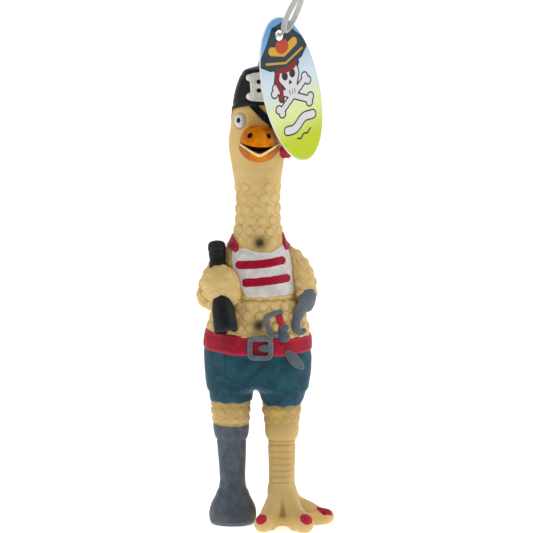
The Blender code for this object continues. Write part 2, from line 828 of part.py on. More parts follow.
def build_eyepiece():
    shares = ((0.0, 0.55), (0.08, 0.9), (0.2, 1.0), (0.42, 0.97), (0.48, 0.9), (1.0, 0.88))
    profile = [(t, r * SPYGLASS_EYEPIECE_R) for t, r in shares]
    tube = turned_between("spyglass_eyepiece", SPYGLASS_TOP, SPYGLASS_EYEPIECE_LOW, profile)
    cut(tube, *arms(GAP))
    return clear_of_trunk(tube)


def build_barrel():
    narrow, wide = SPYGLASS_NARROW_R, SPYGLASS_WIDE_R
    profile = [(0.0, narrow), (0.1, narrow + 0.3), (0.6, 0.92 * wide), (1.0, wide)]
    tube = turned_between("spyglass_barrel", SPYGLASS_BARREL_TOP, SPYGLASS_BARREL_LOW, profile)
    down = Vector(SPYGLASS_BARREL_LOW) - Vector(SPYGLASS_BARREL_TOP)
    profile = [(-LENS_THICK - GAP, LENS_R + GAP), (4.0, LENS_R + GAP)]
    seat = turned("seat", profile, SPYGLASS_BARREL_LOW, down)
    cut(tube, seat, *arms(GAP))
    return clear_of_trunk(tube)


def build_lens():
    down = Vector(SPYGLASS_BARREL_LOW) - Vector(SPYGLASS_BARREL_TOP)
    profile = [(-LENS_THICK, LENS_R), (-0.4, LENS_R), (-0.1, 0.57 * LENS_R)]
    lens = turned("spyglass_lens", profile, SPYGLASS_BARREL_LOW, down)
    return clear_of_trunk(lens)


def face_front(z):
    """How far forward the face is at this height."""
    return -smooth_rows(TRUNK, np.array([z]))[0][3]


def bill_ball(name, z, reach, rise, grow=0.0):
    """The ellipsoid that half of the bill is cut from: it springs from inside the face."""
    size = (BEAK_WIDTH + grow, reach + BEAK_ROOT + grow, rise + grow)
    return ball(name, (HEAD_X, face_front(z) + BEAK_ROOT, z), size, 14, 24)


def bill_half(name, rise, reach, sign):
    """Half of the bill, flat at the mouth."""
    z = BEAK_UPPER_Z if sign > 0 else BEAK_UPPER_Z - MOUTH_OPEN
    low, high = (z, z + 30.0) if sign > 0 else (z - 30.0, z)
    side = box("side", (-40.0, -60.0, low), (40.0, 20.0, high))
    return keep_inside(bill_ball(name, z, reach, rise), side)


def clear_of_head(thing, grow=GAP):
    return cut(thing, trunk_body("room", HEAD_LOW - 3.0, HEAD_LOW + 39.0, grow, 3.5))


def build_beak_upper():
    beak = clear_of_head(bill_half("beak_upper", BEAK_UPPER_RISE, BEAK_REACH, 1))
    return beak


def build_beak_lower():
    return clear_of_head(bill_half("beak_lower", BEAK_LOWER_DROP, BEAK_REACH - 1.5, -1))


def build_mouth():
    """The dark lining of the open mouth, between the two halves of the bill."""
    z = BEAK_UPPER_Z - MOUTH_OPEN
    lining = bill_ball("mouth_lining", z + MOUTH_OPEN / 2, BEAK_REACH - 6.0, BEAK_UPPER_RISE, -1.4)
    keep_inside(lining, box("between", (-40.0, -60.0, z + GAP), (40.0, 20.0, BEAK_UPPER_Z - GAP)))
    return clear_of_head(lining)


def build_eye():
    return clear_of_head(ball("eye_white", EYE_AT, EYE_SIZE, 10, 16))


def build_pupil():
    grown = [s + GAP for s in EYE_SIZE]
    return cut(ball("eye_pupil", PUPIL_AT, PUPIL_SIZE, 8, 12), ball("room", EYE_AT, grown, 10, 16))


def build_patch():
    """The eye patch and its strap, as one raised plate."""
    patch = plate_on_head("eye_patch", [oval_outline(PATCH_AT, *PATCH_HALF, 18), PATCH_STRAP])
    return cut(patch, bill_ball("bill_room", BEAK_UPPER_Z, BEAK_REACH, BEAK_UPPER_RISE, GAP))


def plate_on_head(name, outlines, back=False):
    """A raised plate on the head, cut to the joined outlines seen from the front or back."""
    plate = trunk_body(name, HEAD_LOW - 3.0, CAP_RIM - GAP, GAP + RELIEF, 3.5)
    cut(plate, trunk_body("under", HEAD_LOW - 4.0, CAP_RIM + 1.0, GAP, 3.5))
    return keep_inside(plate, joined_prisms(outlines, back))


def build_emblem():
    """A plain skull on crossed bones: an oval with a knob at each corner."""
    x, z = EMBLEM_AT
    signs = ((-1, -1), (-1, 1), (1, -1), (1, 1))
    knobs = [oval_outline((x + a * 5.6, z + b * 5.2), 2.0, 1.9, 10) for a, b in signs]
    emblem = trunk_body("cap_emblem", CAP_RIM, HEIGHT - 3.0, CAP_LIFT + GAP + RELIEF, 3.0)
    cut(emblem, trunk_body("under", CAP_RIM - 1.0, HEIGHT - 2.0, CAP_LIFT + GAP, 3.0))
    return keep_inside(emblem, joined_prisms([oval_outline(EMBLEM_AT, 5.6, 6.6, 18), *knobs]))


def joined_prisms(outlines, back=False):
    """One body from flat outlines, pushed out to the front or back. Each starts a little further in."""
    depth = (0.0, 60.0) if back else (-60.0, 0.0)
    prisms = [outline_prism("outline", o, depth[0] + i, depth[1] + i) for i, o in enumerate(outlines)]
    return join(prisms[0], *prisms[1:])


def build_scarf_band():
    """The red headscarf's band, which shows under the cap round the back of the head."""
    corners = [(-30.0, SCARF_LOW), (30.0, SCARF_LOW), (30.0, CAP_RIM - GAP), (-30.0, CAP_RIM - GAP)]
    band = plate_on_head("scarf_band", [corners], True)
    knot_room = ball("knot_room", SCARF_KNOT_AT, [s + GAP for s in SCARF_KNOT])
    return cut(band, knot_room, limb("tail_room", SCARF_TAIL, GAP))


def build_scarf_tail():
    tail = limb("scarf_tail", SCARF_TAIL, 0.0, 3)
    join(tail, ball("knot", SCARF_KNOT_AT, SCARF_KNOT, 10, 16))
    cut(tail, trunk_body("cap_room", CAP_RIM - GAP, HEIGHT, CAP_LIFT + GAP, 3.0))
    return clear_of_head(tail)


def build_nail(name, angle):
    """Painted toenail: a cap of the toe's own surface, near the tip."""
    a = math.radians(angle)
    rows = toe_points(a, TOE_REACH)
    tip = Vector(rows[-1][:3])
    nail = ball(name, tip + Vector((0.0, 0.0, TOE_R * 0.75)), (2.9, 2.9, 1.9), 8, 14)
    return cut(nail, *[limb("room", toe_points(math.radians(t), TOE_REACH), GAP, 3) for t in TOE_ANGLES])


# ---- squeaker ---------------------------------------------------------------------------------------
def build_squeaker_body():
    """A plastic barrel with a flange. Its bore is open at both ends."""
    back = (0.0, squeaker_back(), SQUEAKER_Z)
    body = turned(
        "squeaker_body",
        [
            (-SQUEAKER_LENGTH, SQUEAKER_R),
            (0.0, SQUEAKER_R),
            (0.0, SQUEAKER_FLANGE_R),
            (SQUEAKER_FLANGE, SQUEAKER_FLANGE_R),
        ],
        back,
        (0, 1, 0),
        28,
    )
    wide, narrow = SQUEAKER_BORE_R, SQUEAKER_VENT_R
    steps = [(-SQUEAKER_LENGTH - 2.0, wide), (-0.6, wide), (-0.6, narrow), (6.0, narrow)]
    bore = turned("bore", steps, back, (0, 1, 0), 24)
    return cut(body, bore)


def reed_frame():
    """Where the reed's root is: inner end of the barrel, above the channel's flat."""
    return squeaker_back() - SQUEAKER_LENGTH + 1.0


def reed_plug(name, length):
    """A round plug that fits the barrel's bore, from the reed's root outwards."""
    radius = SQUEAKER_BORE_R - GAP
    return turned(name, [(0.0, radius), (length, radius)], (0.0, reed_frame(), SQUEAKER_Z), (0, 1, 0), 24)


def build_reed_channel():
    """The half-round channel that the reed beats against: a plug at the root, then a trough."""
    y = reed_frame()
    channel = reed_plug("reed_channel", REED_CHANNEL)
    cut(channel, box("top", (-9.0, y - 1.0, SQUEAKER_Z), (9.0, y + 20.0, SQUEAKER_Z + 9.0)))
    return cut(channel, box("trough", (-0.8, y + 1.2, SQUEAKER_Z - 1.6), (0.8, y + 20.0, SQUEAKER_Z + 1.0)))


def build_reed():
    """A thin tongue that lies just over the trough, held at its root."""
    y = reed_frame() + 0.3
    low = SQUEAKER_Z + GAP
    half = REED_WIDTH / 2
    return box("squeaker_reed", (-half, y, low), (half, y + REED_LENGTH, low + REED_THICK))


def build_reed_wedge():
    """Clamps the reed's root in the barrel."""
    y = reed_frame()
    wedge = reed_plug("reed_wedge", REED_ROOT)
    floor = SQUEAKER_Z + 2 * GAP + REED_THICK
    return cut(wedge, box("under", (-9.0, y - 1.0, SQUEAKER_Z - 9.0), (9.0, y + 3.0, floor)))


# ---- tag and loop -------------------------------------------------------------------------------------
def tag_matrix():
    """The card's own frame: X across its face, Y up its long axis, Z out of its printed face."""
    turn = Matrix.Rotation(math.radians(TAG_TURN), 4, "Z")
    stand = Matrix.Rotation(math.radians(90.0), 4, "X")
    lean = Matrix.Rotation(math.radians(TAG_LEAN), 4, "Z")
    return Matrix.Translation(Vector(TAG_CENTRE) * MM) @ turn @ stand @ lean


def tag_hole_at():
    return tag_matrix() @ Vector((0.0, TAG_HOLE_UP * MM, 0.0)) / MM


def build_tag():
    """An oval card with a punched hole near its top."""
    curve = bpy.data.curves.new("hang_tag", "CURVE")
    curve.dimensions = "2D"
    curve.fill_mode = "BOTH"
    curve.extrude = TAG_THICK / 2 * MM
    edge = oval_outline((0.0, 0.0), TAG_SHORT, TAG_LONG, 56)
    rings = (edge, oval_outline((0.0, TAG_HOLE_UP), TAG_HOLE_R, TAG_HOLE_R, 16))
    for ring in rings:
        spline = curve.splines.new("POLY")
        spline.points.add(len(ring) - 1)
        for point, (u, v) in zip(spline.points, ring):
            point.co = (u * MM, v * MM, 0.0, 1.0)
        spline.use_cyclic_u = True
    card = new_object("hang_tag", curve)
    card.matrix_world = tag_matrix()
    return as_mesh_object(card)


def loop_matrix():
    """The ring's own frame: Z through its opening, Y up its long axis, its foot in front of the tag."""
    turn = Matrix.Rotation(math.radians(LOOP_TURN), 4, "Z")
    stand = Matrix.Rotation(math.radians(90.0), 4, "X")
    tilt = Matrix.Rotation(math.radians(LOOP_LEAN), 4, "Y")
    foot = tag_hole_at() + face_of_tag() * 2.6 + Vector((0.9, 0.0, 2.0))
    up = Matrix.Translation((0.0, LOOP_LONG * MM, 0.0))
    return Matrix.Translation(foot * MM) @ tilt @ turn @ stand @ up


def face_of_tag():
    return (tag_matrix().to_3x3() @ Vector((0.0, 0.0, 1.0))).normalized()


def build_loop():
    """Nylon loop, its tail through the tag's hole and the cap's crown, and the bar that holds it inside."""
    frame = loop_matrix()
    curve = bpy.data.curves.new("hang_loop", "CURVE")
    curve.dimensions = "2D"
    curve.fill_mode = "BOTH"
    curve.extrude = LOOP_WIDTH / 2 * MM
    rings = (
        oval_outline((0, 0), LOOP_SHORT, LOOP_LONG, 32),
        oval_outline((0, 0), LOOP_SHORT - LOOP_BAND, LOOP_LONG - LOOP_BAND, 32),
    )
    for ring in rings:
        spline = curve.splines.new("POLY")
        spline.points.add(len(ring) - 1)
        for point, (u, v) in zip(spline.points, ring):
            point.co = (u * MM, v * MM, 0.0, 1.0)
        spline.use_cyclic_u = True
    ring = new_object("hang_loop", curve)
    ring.matrix_world = frame
    loop = as_mesh_object(ring)
    foot = frame @ Vector((0.0, (LOOP_BAND / 2 - LOOP_LONG) * MM, 0.0)) / MM
    hole, face = tag_hole_at(), face_of_tag()
    pin = Vector(PIN_AT)
    inside = pin - Vector((0.0, 0.0, LOOP_BAR_DEPTH))
    route = [
        foot,
        hole + face * 1.0,
        hole - face * 1.6,
        pin + Vector((1.4, -2.6, 4.0)),
        pin + Vector((0.0, 0.0, 0.6)),
        inside,
    ]
    tail = limb("tail", [(*p, TAIL_R) for p in route], 0.0, 2, False)
    bar = turned("bar", [(-LOOP_BAR, 0.9), (LOOP_BAR, 0.9)], inside, (1, 0, 0), 12)
    return join(loop, tail, bar)


# ---- assembly -------------------------------------------------------------------------------------------
def all_parts():
    """Each part with its material slot."""
    return [
        (build_torso_skin(), "latex_cream"),
        (build_neck(), "latex_cream"),
        (build_head(), "latex_cream"),
        (build_thigh("right_thigh_skin", -1), "latex_cream"),
        (build_thigh("left_thigh_skin", 1), "latex_cream"),
        (build_bird_foot(), "latex_cream"),
        (build_shorts(), "paint_teal"),
        (build_belt(), "paint_red"),
        (build_peg_boot(), "paint_grey"),
        (build_cap(), "paint_black"),
        (build_emblem(), "paint_white"),
        (build_patch(), "paint_black"),
        (build_scarf_band(), "paint_red"),
        (build_scarf_tail(), "paint_red"),
        (build_eye(), "paint_white"),
        (build_pupil(), "paint_black"),
        (build_beak_upper(), "paint_orange"),
        (build_beak_lower(), "paint_orange"),
        (build_mouth(), "mouth_brown"),
        (build_shirt("shirt_front", SHIRT_FRONT, False), "paint_white"),
        (build_shirt("shirt_back", SHIRT_BACK, True), "paint_white"),
        (build_stripe("shirt_stripe_upper", STRIPE_HIGH), "paint_red"),
        (build_stripe("shirt_stripe_lower", STRIPE_LOW), "paint_red"),
        (build_strap("strap_right", STRAP_RIGHT), "paint_red"),
        (build_strap("strap_left", STRAP_LEFT), "paint_red"),
        (build_buckle(), "paint_grey"),
        (build_buckle_tongue(), "paint_grey"),
        (build_hilt(), "paint_grey"),
        (build_grip(), "paint_red"),
        (build_blade(), "paint_grey"),
        (build_hook_cup(), "paint_grey"),
        (build_hook(), "paint_grey"),
        (build_eyepiece(), "paint_black"),
        (build_barrel(), "paint_black"),
        (build_lens(), "mouth_brown"),
        *[(build_nail(f"toenail_{i + 1}", a), "paint_red") for i, a in enumerate(TOE_ANGLES)],
        (build_squeaker_body(), "squeaker_plastic"),
        (build_reed_channel(), "squeaker_plastic"),
        (build_reed(), "reed_plastic"),
        (build_reed_wedge(), "squeaker_plastic"),
        (build_loop(), "loop_nylon"),
        (build_tag(), "tag_card"),
    ]


def box_of(parts):
    """Lowest and highest corner of all the parts together."""
    corners = np.array([thing.matrix_world @ Vector(c) for thing in parts for c in thing.bound_box])
    return corners.min(0), corners.max(0)


def main():
    clear_scene()
    toy = make_collection("rubber_chicken")
    parts = all_parts()
    for thing, slot in parts:
        thing.data.materials.clear()
        thing.data.materials.append(make_material(slot))
        thing.data.shade_smooth()
        thing.data.set_sharp_from_angle(angle=math.radians(35))
        bpy.context.scene.collection.objects.unlink(thing)
        toy.objects.link(thing)
    bpy.context.view_layer.update()
    low, high = box_of([thing for thing, _ in parts])
    stand = bpy.data.objects.new("stand_point", None)
    toy.objects.link(stand)
    for thing, _ in parts:
        thing.parent = stand
    stand.location = (-(low[0] + high[0]) / 2, -(low[1] + high[1]) / 2, -low[2])
    bpy.context.view_layer.update()


main()
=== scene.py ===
"""Looks for a rubber chicken in pirate dress: painted latex, a squeaker, a card tag and its nylon loop.

Sizes are in millimetres round the toy's own centre line, with X to the toy's left, -Y to its front and Z up
from the surface it stands on. Finished meshes are moved into the frame, in metres, by place(). A field is a
function that gives each point its distance from a surface, negative inside.
"""

import math

import bpy
import numpy as np
import openvdb
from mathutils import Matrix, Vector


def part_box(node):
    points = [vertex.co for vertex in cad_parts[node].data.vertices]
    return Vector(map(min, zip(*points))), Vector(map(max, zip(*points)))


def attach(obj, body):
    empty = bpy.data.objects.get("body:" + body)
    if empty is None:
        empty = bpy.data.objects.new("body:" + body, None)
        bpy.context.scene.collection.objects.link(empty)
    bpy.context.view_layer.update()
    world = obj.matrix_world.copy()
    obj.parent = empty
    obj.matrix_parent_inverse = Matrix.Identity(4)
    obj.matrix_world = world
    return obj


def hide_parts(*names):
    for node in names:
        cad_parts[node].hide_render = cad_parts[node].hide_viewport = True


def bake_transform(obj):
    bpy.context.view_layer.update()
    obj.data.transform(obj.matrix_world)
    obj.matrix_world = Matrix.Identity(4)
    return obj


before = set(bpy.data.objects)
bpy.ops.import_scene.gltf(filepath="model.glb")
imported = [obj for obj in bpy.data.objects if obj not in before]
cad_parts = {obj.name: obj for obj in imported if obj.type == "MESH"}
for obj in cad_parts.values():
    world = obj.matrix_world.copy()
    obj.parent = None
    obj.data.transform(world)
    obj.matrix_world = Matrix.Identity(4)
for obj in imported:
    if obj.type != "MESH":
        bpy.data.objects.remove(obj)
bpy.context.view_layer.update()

LEG_X = 12.4  # each leg from the centre line
HEIGHT = 225.0  # crown of the cap
HEAD_X = 0.6  # the head leans this far to the toy's left
RIGHT_LEG_X = -12.5
LEFT_LEG_X = 11.75

# Heights, centre x, centre y, half width, depth in front, depth behind.
TRUNK = np.array(
    [
        (55.0, 0.0, 0.0, 20.0, 13.0, 13.5),
        (61.0, -0.3, 0.0, 23.5, 15.0, 15.5),
        (68.0, -0.2, 0.0, 24.9, 16.4, 17.0),
        (76.0, 0.0, 0.0, 26.0, 17.4, 17.8),
        (86.0, -0.2, 0.0, 26.2, 18.2, 17.6),
        (96.0, 0.0, 0.0, 25.3, 18.2, 16.6),
        (104.0, 0.0, 0.0, 23.2, 17.2, 15.6),
        (112.0, 0.0, 0.0, 19.8, 15.8, 14.8),
        (122.0, 0.0, 0.0, 17.8, 14.8, 14.2),
        (131.0, 0.0, 0.0, 17.0, 14.0, 13.6),
        (137.0, 0.0, 0.0, 14.9, 12.9, 12.8),
        (142.0, 0.0, 0.0, 12.6, 11.8, 11.8),
        (147.0, 0.0, 0.0, 11.4, 11.1, 11.1),
        (155.0, 0.0, 0.0, 10.7, 10.7, 10.7),
        (162.0, 0.0, 0.0, 10.6, 10.8, 10.8),
        (170.0, -0.1, 0.0, 11.5, 11.7, 11.5),
        (177.0, -0.2, 0.0, 12.6, 12.8, 12.6),
        (184.0, -0.2, 0.0, 13.6, 13.8, 13.8),
        (191.0, 0.0, 0.0, 13.9, 14.2, 14.6),
        (198.0, 0.45, 0.0, 13.45, 13.8, 14.6),
        (204.0, 0.75, 0.0, 12.8, 13.0, 14.0),
        (211.0, 0.9, 0.0, 12.0, 11.8, 12.6),
        (217.0, 1.2, 0.0, 10.6, 10.6, 11.2),
        (221.0, 1.3, 0.0, 8.8, 8.7, 9.0),
        (223.6, 1.3, 0.0, 6.0, 6.0, 6.2),
        (HEIGHT - 0.2, 1.3, 0.0, 1.4, 1.4, 1.4),
    ]
)

# Points along each limb, each with its radius.
BENT_ARM = [
    (-10.0, 1.0, 134.0, 5.4), (-17.0, 0.0, 128.5, 5.9), (-22.4, -2.0, 119.5, 6.0), (-24.0, -4.5, 113.4, 5.4)
]
FOREARM = [(-24.0, -5.0, 113.0, 5.2), (-21.4, -8.0, 110.6, 4.6), (-19.0, -10.6, 112.4, 4.4)]
FIST = ((-18.0, -11.6, 119.4), (9.6, 7.6, 9.6))
KNUCKLES = [(-13.6, -12.6, 119.0, 4.4), (-12.6, -13.0, 114.6, 4.6)]
HOOK_ARM = [
    (10.0, 1.0, 134.6, 5.2), (17.4, 0.0, 129.5, 5.8), (21.6, -1.8, 122.4, 6.0), (23.4, -3.6, 114.6, 5.6)
]

# Screen colours out of 255.
LATEX = (219, 189, 126)
# Darker yellow-brown for the painted shade in hollows.
LATEX_SHADE = (160, 118, 52)


# ---- where things go --------------------------------------------------------------------------
def toy_offset():
    """The toy's centre line in the frame, from where the peg boot stands."""
    low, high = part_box("peg_boot")
    return np.array([(low[0] + high[0]) / 2 + LEG_X / 1000, (low[1] + high[1]) / 2, 0.0])


OFFSET = toy_offset()


# ---- curves and fields ------------------------------------------------------------------------
def hermite(table, at):
    """Columns of a table at each height: cubic Hermite curves whose slopes are the centred differences."""
    z, values = table[:, 0], table[:, 1:]
    slopes = np.gradient(values, z, axis=0)
    at = np.clip(at, z[0], z[-1])
    i = np.clip(np.searchsorted(z, at, side="right") - 1, 0, len(z) - 2)
    span = (z[i + 1] - z[i])[:, None]
    t = ((at - z[i]) / span[:, 0])[:, None]
    rise, start, end = 3 * t**2 - 2 * t**3, t**3 - 2 * t**2 + t, t**3 - t**2
    return values[i] * (1 - rise) + values[i + 1] * rise + span * (slopes[i] * start + slopes[i + 1] * end)


def smooth_step(value, low, high):
    """0 below low, 1 above high, 3t^2 - 2t^3 between."""
    t = np.clip((value - low) / (high - low), 0.0, 1.0)
    return t * t * (3 - 2 * t)


def blended(a, b, soft):
    """The nearer of two fields, filleted over soft: min(a, b) - h^2 * soft / 4, h = 1 - |a - b| / soft."""
    h = np.clip(1 - np.abs(a - b) / soft, 0.0, 1.0)
    return np.minimum(a, b) - h * h * soft / 4


def carved(a, b, soft):
    """Field a with b taken out of it, its edges rounded by soft."""
    return -blended(-a, b, soft)


def trunk_field(p, table=TRUNK):
    """k (k - 1) / |grad k|, with k = |((x - cx) / width, (y - cy) / depth)| on the oval at each height."""
    cx, cy, width, front, back = hermite(table, p[:, 2]).T
    x, y = p[:, 0] - cx, p[:, 1] - cy
    depth = np.where(y < 0, front, back)
    k = np.sqrt((x / width) ** 2 + (y / depth) ** 2)
    slope = np.sqrt((x / width**2) ** 2 + (y / depth**2) ** 2)
    near_axis = (k - 1) * np.minimum(width, depth)
    return np.where(k < 0.5, near_axis, k * (k - 1) / np.maximum(slope, 1e-6))


def ball_field(p, centre, size):
    """k (k - 1) / |grad k|, with k the length of the point over the half sizes."""
    q = (p - np.array(centre)) / np.array(size)
    k = np.sqrt((q**2).sum(1))
    slope = np.sqrt(((q / np.array(size)) ** 2).sum(1))
    return np.where(k < 0.3, (k - 1) * min(size), k * (k - 1) / np.maximum(slope, 1e-6))


def curve_points(rows, count):
    """count rows evenly spaced in parameter along the Catmull-Rom curve through the given rows."""
    rows = np.array(rows, float)
    ends = np.vstack([2 * rows[0] - rows[1], rows, 2 * rows[-1] - rows[-2]])
    at = np.linspace(0, len(rows) - 1 - 1e-9, count)
    i = at.astype(int)
    t = (at - i)[:, None]
    a, b, c, d = ends[i], ends[i + 1], ends[i + 2], ends[i + 3]
    return 0.5 * (2 * b + (c - a) * t + (2 * a - 5 * b + 4 * c - d) * t**2 + (3 * b - a - 3 * c + d) * t**3)


def limb_field(p, rows, count=10):
    """The least, over the curve's segments, of the distance to the segment less the radius there."""
    rows = curve_points(rows, count)
    nearest = np.full(len(p), 1e3)
    for (a, ra), (b, rb) in zip(((r[:3], r[3]) for r in rows), ((r[:3], r[3]) for r in rows[1:])):
        along = b - a
        t = np.clip((p - a) @ along / (along @ along), 0.0, 1.0)
        gap = np.sqrt(((p - a - t[:, None] * along) ** 2).sum(1)) - (ra + (rb - ra) * t)
        nearest = np.minimum(nearest, gap)
    return nearest


def outline_distance(x, z, corners, rounding=0.0):
    """Distance from a closed outline, negative inside, with its corners rounded outwards."""
    corners = np.array(corners, float)
    nearest = np.full(len(x), 1e6)
    inside = np.zeros(len(x), bool)
    for (ax, az), (bx, bz) in zip(corners, np.roll(corners, -1, axis=0)):
        ex, ez = bx - ax, bz - az
        t = np.clip(((x - ax) * ex + (z - az) * ez) / (ex * ex + ez * ez), 0.0, 1.0)
        nearest = np.minimum(nearest, (x - ax - t * ex) ** 2 + (z - az - t * ez) ** 2)
        crosses = ((az > z) != (bz > z)) & (x < ax + (z - az) * ex / np.where(ez == 0, 1e-9, ez))
        inside ^= crosses
    return np.where(inside, -1, 1) * np.sqrt(nearest) - rounding


def oval_distance(x, z, cx, cz, rx, rz, lean=0.0):
    """Roughly the distance from an oval turned by lean degrees, negative inside."""
    c, s = math.cos(math.radians(lean)), math.sin(math.radians(lean))
    u, v = ((x - cx) * c + (z - cz) * s) / rx, ((z - cz) * c - (x - cx) * s) / rz
    return (np.sqrt(u * u + v * v) - 1) * min(rx, rz)


def line_distance(x, z, corners, radius):
    """Distance from a bent line with a thickness."""
    nearest = np.full(len(x), 1e6)
    for (ax, az), (bx, bz) in zip(corners, corners[1:]):
        ex, ez = bx - ax, bz - az
        t = np.clip(((x - ax) * ex + (z - az) * ez) / (ex * ex + ez * ez), 0.0, 1.0)
        nearest = np.minimum(nearest, (x - ax - t * ex) ** 2 + (z - az - t * ez) ** 2)
    return np.sqrt(nearest) - radius


def waver(p, size, seed=0.0):
    """A smooth unevenness between -1 and 1: the mean of three crossed sine waves of about this size."""
    a, b, c = (p * (2 * math.pi / size)).T
    first = np.sin(a * 1.0 + b * 0.7 + seed) * np.cos(c * 0.9 - a * 0.4 + seed * 2)
    second = np.sin(b * 1.3 - c * 0.8 + seed * 3) * np.cos(a * 0.6 + c * 1.1 + seed)
    third = np.sin(c * 1.7 + a * 1.1 - seed) * np.cos(b * 1.6 + seed * 4)
    return (first + second + third) / 3


def front_y(x, z, table=TRUNK):
    """The skin's y on the front of the trunk, straight behind (x, z)."""
    cx, cy, width, front, _ = hermite(table, np.atleast_1d(np.asarray(z, float))).T
    inside = np.clip(1 - ((np.atleast_1d(x) - cx) / width) ** 2, 0.02, 1.0)
    return cy - front * np.sqrt(inside)


# ---- meshes -------------------------------------------------------------------------------------
def mesh_of_field(field, low, high, step):
    """Quads over the surface where the field is zero.

    The field is worked out on a regular grid, meshed by surface nets, and each point is then moved by
    -distance * gradient / |gradient|^2, twice, so that it lies on the surface.
    """
    axes = [np.arange(a, b + step, step) for a, b in zip(low, high)]
    values = np.empty([len(a) for a in axes], np.float32)
    for i in range(0, len(axes[0]), 6):
        block = np.meshgrid(axes[0][i : i + 6], axes[1], axes[2], indexing="ij")
        values[i : i + 6] = field(np.stack([b.ravel() for b in block], 1)).reshape(block[0].shape)
    volume = openvdb.FloatGrid(3 * step)
    volume.copyFromArray(np.clip(values, -3 * step, 3 * step))
    points, quads = volume.convertToQuads(0.0)
    points = points.astype(float) * step + np.array(low)
    for _ in range(2):
        points = on_surface(points, field, step)
    return points, quads.astype(np.int64)


def on_surface(points, field, step):
    """Points moved once down the field's slope, by distance * gradient / |gradient|^2 and no more than step."""
    slope = slope_of(points, field)
    size = np.maximum((slope**2).sum(1), 0.05)
    move = field(points)[:, None] * slope / size[:, None]
    length = np.sqrt((move**2).sum(1, keepdims=True))
    return points - move * np.minimum(1.0, step / np.maximum(length, 1e-9))


def outward(points, faces):
    """The faces, turned over if they enclose a negative volume."""
    return faces[:, ::-1] if volume_of(points, faces) < 0 else faces


def slope_of(points, field, reach=0.04):
    """The field's gradient, by centred differences."""
    steps = np.eye(3) * reach
    return np.stack([(field(points + s) - field(points - s)) / (2 * reach) for s in steps], 1)


def grid_faces(rows, columns, round_columns=True):
    """Quads between neighbouring grid points. The last column meets the first where the grid is round."""
    last = columns if round_columns else columns - 1
    i, j = np.meshgrid(np.arange(rows - 1), np.arange(last), indexing="ij")
    here, right = i * columns + j, i * columns + (j + 1) % columns
    return np.stack([here, right, right + columns, here + columns], -1).reshape(-1, 4)


def ring_faces(rows, columns):
    """Quads of a grid that closes on itself both ways."""
    i, j = np.meshgrid(np.arange(rows), np.arange(columns), indexing="ij")
    after, beside = (i + 1) % rows, (j + 1) % columns
    corners = [i * columns + j, i * columns + beside, after * columns + beside, after * columns + j]
    return np.stack(corners, -1).reshape(-1, 4)


def closed_grid(points):
    """Flat arrays of a round grid's points and faces, with a middle point and a fan at each end."""
    rows, columns = points.shape[:2]
    body = points.reshape(-1, 3)
    middles = np.stack([points[0].mean(0), points[-1].mean(0)])
    ring = np.arange(columns)
    after = (ring + 1) % columns
    first = len(body)
    last = (rows - 1) * columns
    start = np.stack([np.full(columns, first), after, ring], 1)
    end = np.stack([np.full(columns, first + 1), last + ring, last + after], 1)
    return np.vstack([body, middles]), grid_faces(rows, columns), np.vstack([start, end])


def with_fans(values):
    """A grid's values as a flat array, with the ends' averages for the two middle points."""
    return np.concatenate([values.ravel(), [values[0].mean(), values[-1].mean()]])


def normals_of(points, faces):
    """Area-weighted vertex normals from the quads' diagonals."""
    cross = np.cross(points[faces[:, 2]] - points[faces[:, 0]], points[faces[:, 3]] - points[faces[:, 1]])
    total = np.stack([np.bincount(faces.ravel(), np.repeat(cross[:, k], 4), len(points)) for k in range(3)], 1)
    return total / np.maximum(np.sqrt((total**2).sum(1, keepdims=True)), 1e-12)


def volume_of(points, faces):
    """Six times the enclosed volume, as the sum of a . (b x c) over the triangles."""
    a, b, c = (points[faces[:, k]] for k in range(3))
    parts = (a * np.cross(b, c)).sum()
    if faces.shape[1] == 4:
        parts += (a * np.cross(c, points[faces[:, 3]])).sum()
    return parts


def edge_average(values, edges, count):
    """Each point's average over its neighbours along edges."""
    ends = edges.ravel()
    others = edges[:, ::-1].ravel()
    return np.bincount(ends, values[others], count) / np.maximum(np.bincount(ends, minlength=count), 1)


def hollowness(points, edges, normals, rounds=12):
    """How deep a point lies under its surroundings, in mm: smoothed shape less shape, measured outwards."""
    smooth = points.copy()
    for _ in range(rounds):
        smooth = np.stack([edge_average(smooth[:, k], edges, len(points)) for k in range(3)], 1)
    return ((smooth - points) * normals).sum(1)


def place(name, points, face_sets, material, values=None, body="torso", smooth=True):
    """A finished piece from points in millimetres. values are stored as one number per point."""
    if sum(volume_of(points, faces) for faces in face_sets) < 0:
        face_sets = [faces[:, ::-1] for faces in face_sets]
    mesh = bpy.data.meshes.new(name)
    corners = np.concatenate([faces.ravel() for faces in face_sets])
    sizes = np.concatenate([np.full(len(faces), faces.shape[1]) for faces in face_sets])
    mesh.vertices.add(len(points))
    mesh.vertices.foreach_set("co", (points / 1000 + OFFSET).ravel().astype(np.float32))
    mesh.loops.add(len(corners))
    mesh.loops.foreach_set("vertex_index", corners.astype(np.int32))
    mesh.polygons.add(len(sizes))
    mesh.polygons.foreach_set("loop_start", (np.cumsum(sizes) - sizes).astype(np.int32))
    mesh.update(calc_edges=True)
    mesh.validate()
    mesh.shade_smooth() if smooth else None
    edges = np.empty(len(mesh.edges) * 2, np.int32)
    mesh.edges.foreach_get("vertices", edges)
    normals = np.empty(len(points) * 3, np.float32)
    mesh.vertices.foreach_get("normal", normals)
    hollow = hollowness(points, edges.reshape(-1, 2), normals.reshape(-1, 3))
    for key, value in {"hollow": hollow, **(values or {})}.items():
        store = mesh.attributes.new(key, "FLOAT", "POINT")
        store.data.foreach_set("value", np.asarray(value, np.float32))
    piece = bpy.data.objects.new(name, mesh)
    bpy.context.scene.collection.objects.link(piece)
    mesh.materials.append(material)
    if body:
        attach(piece, body)
    return piece


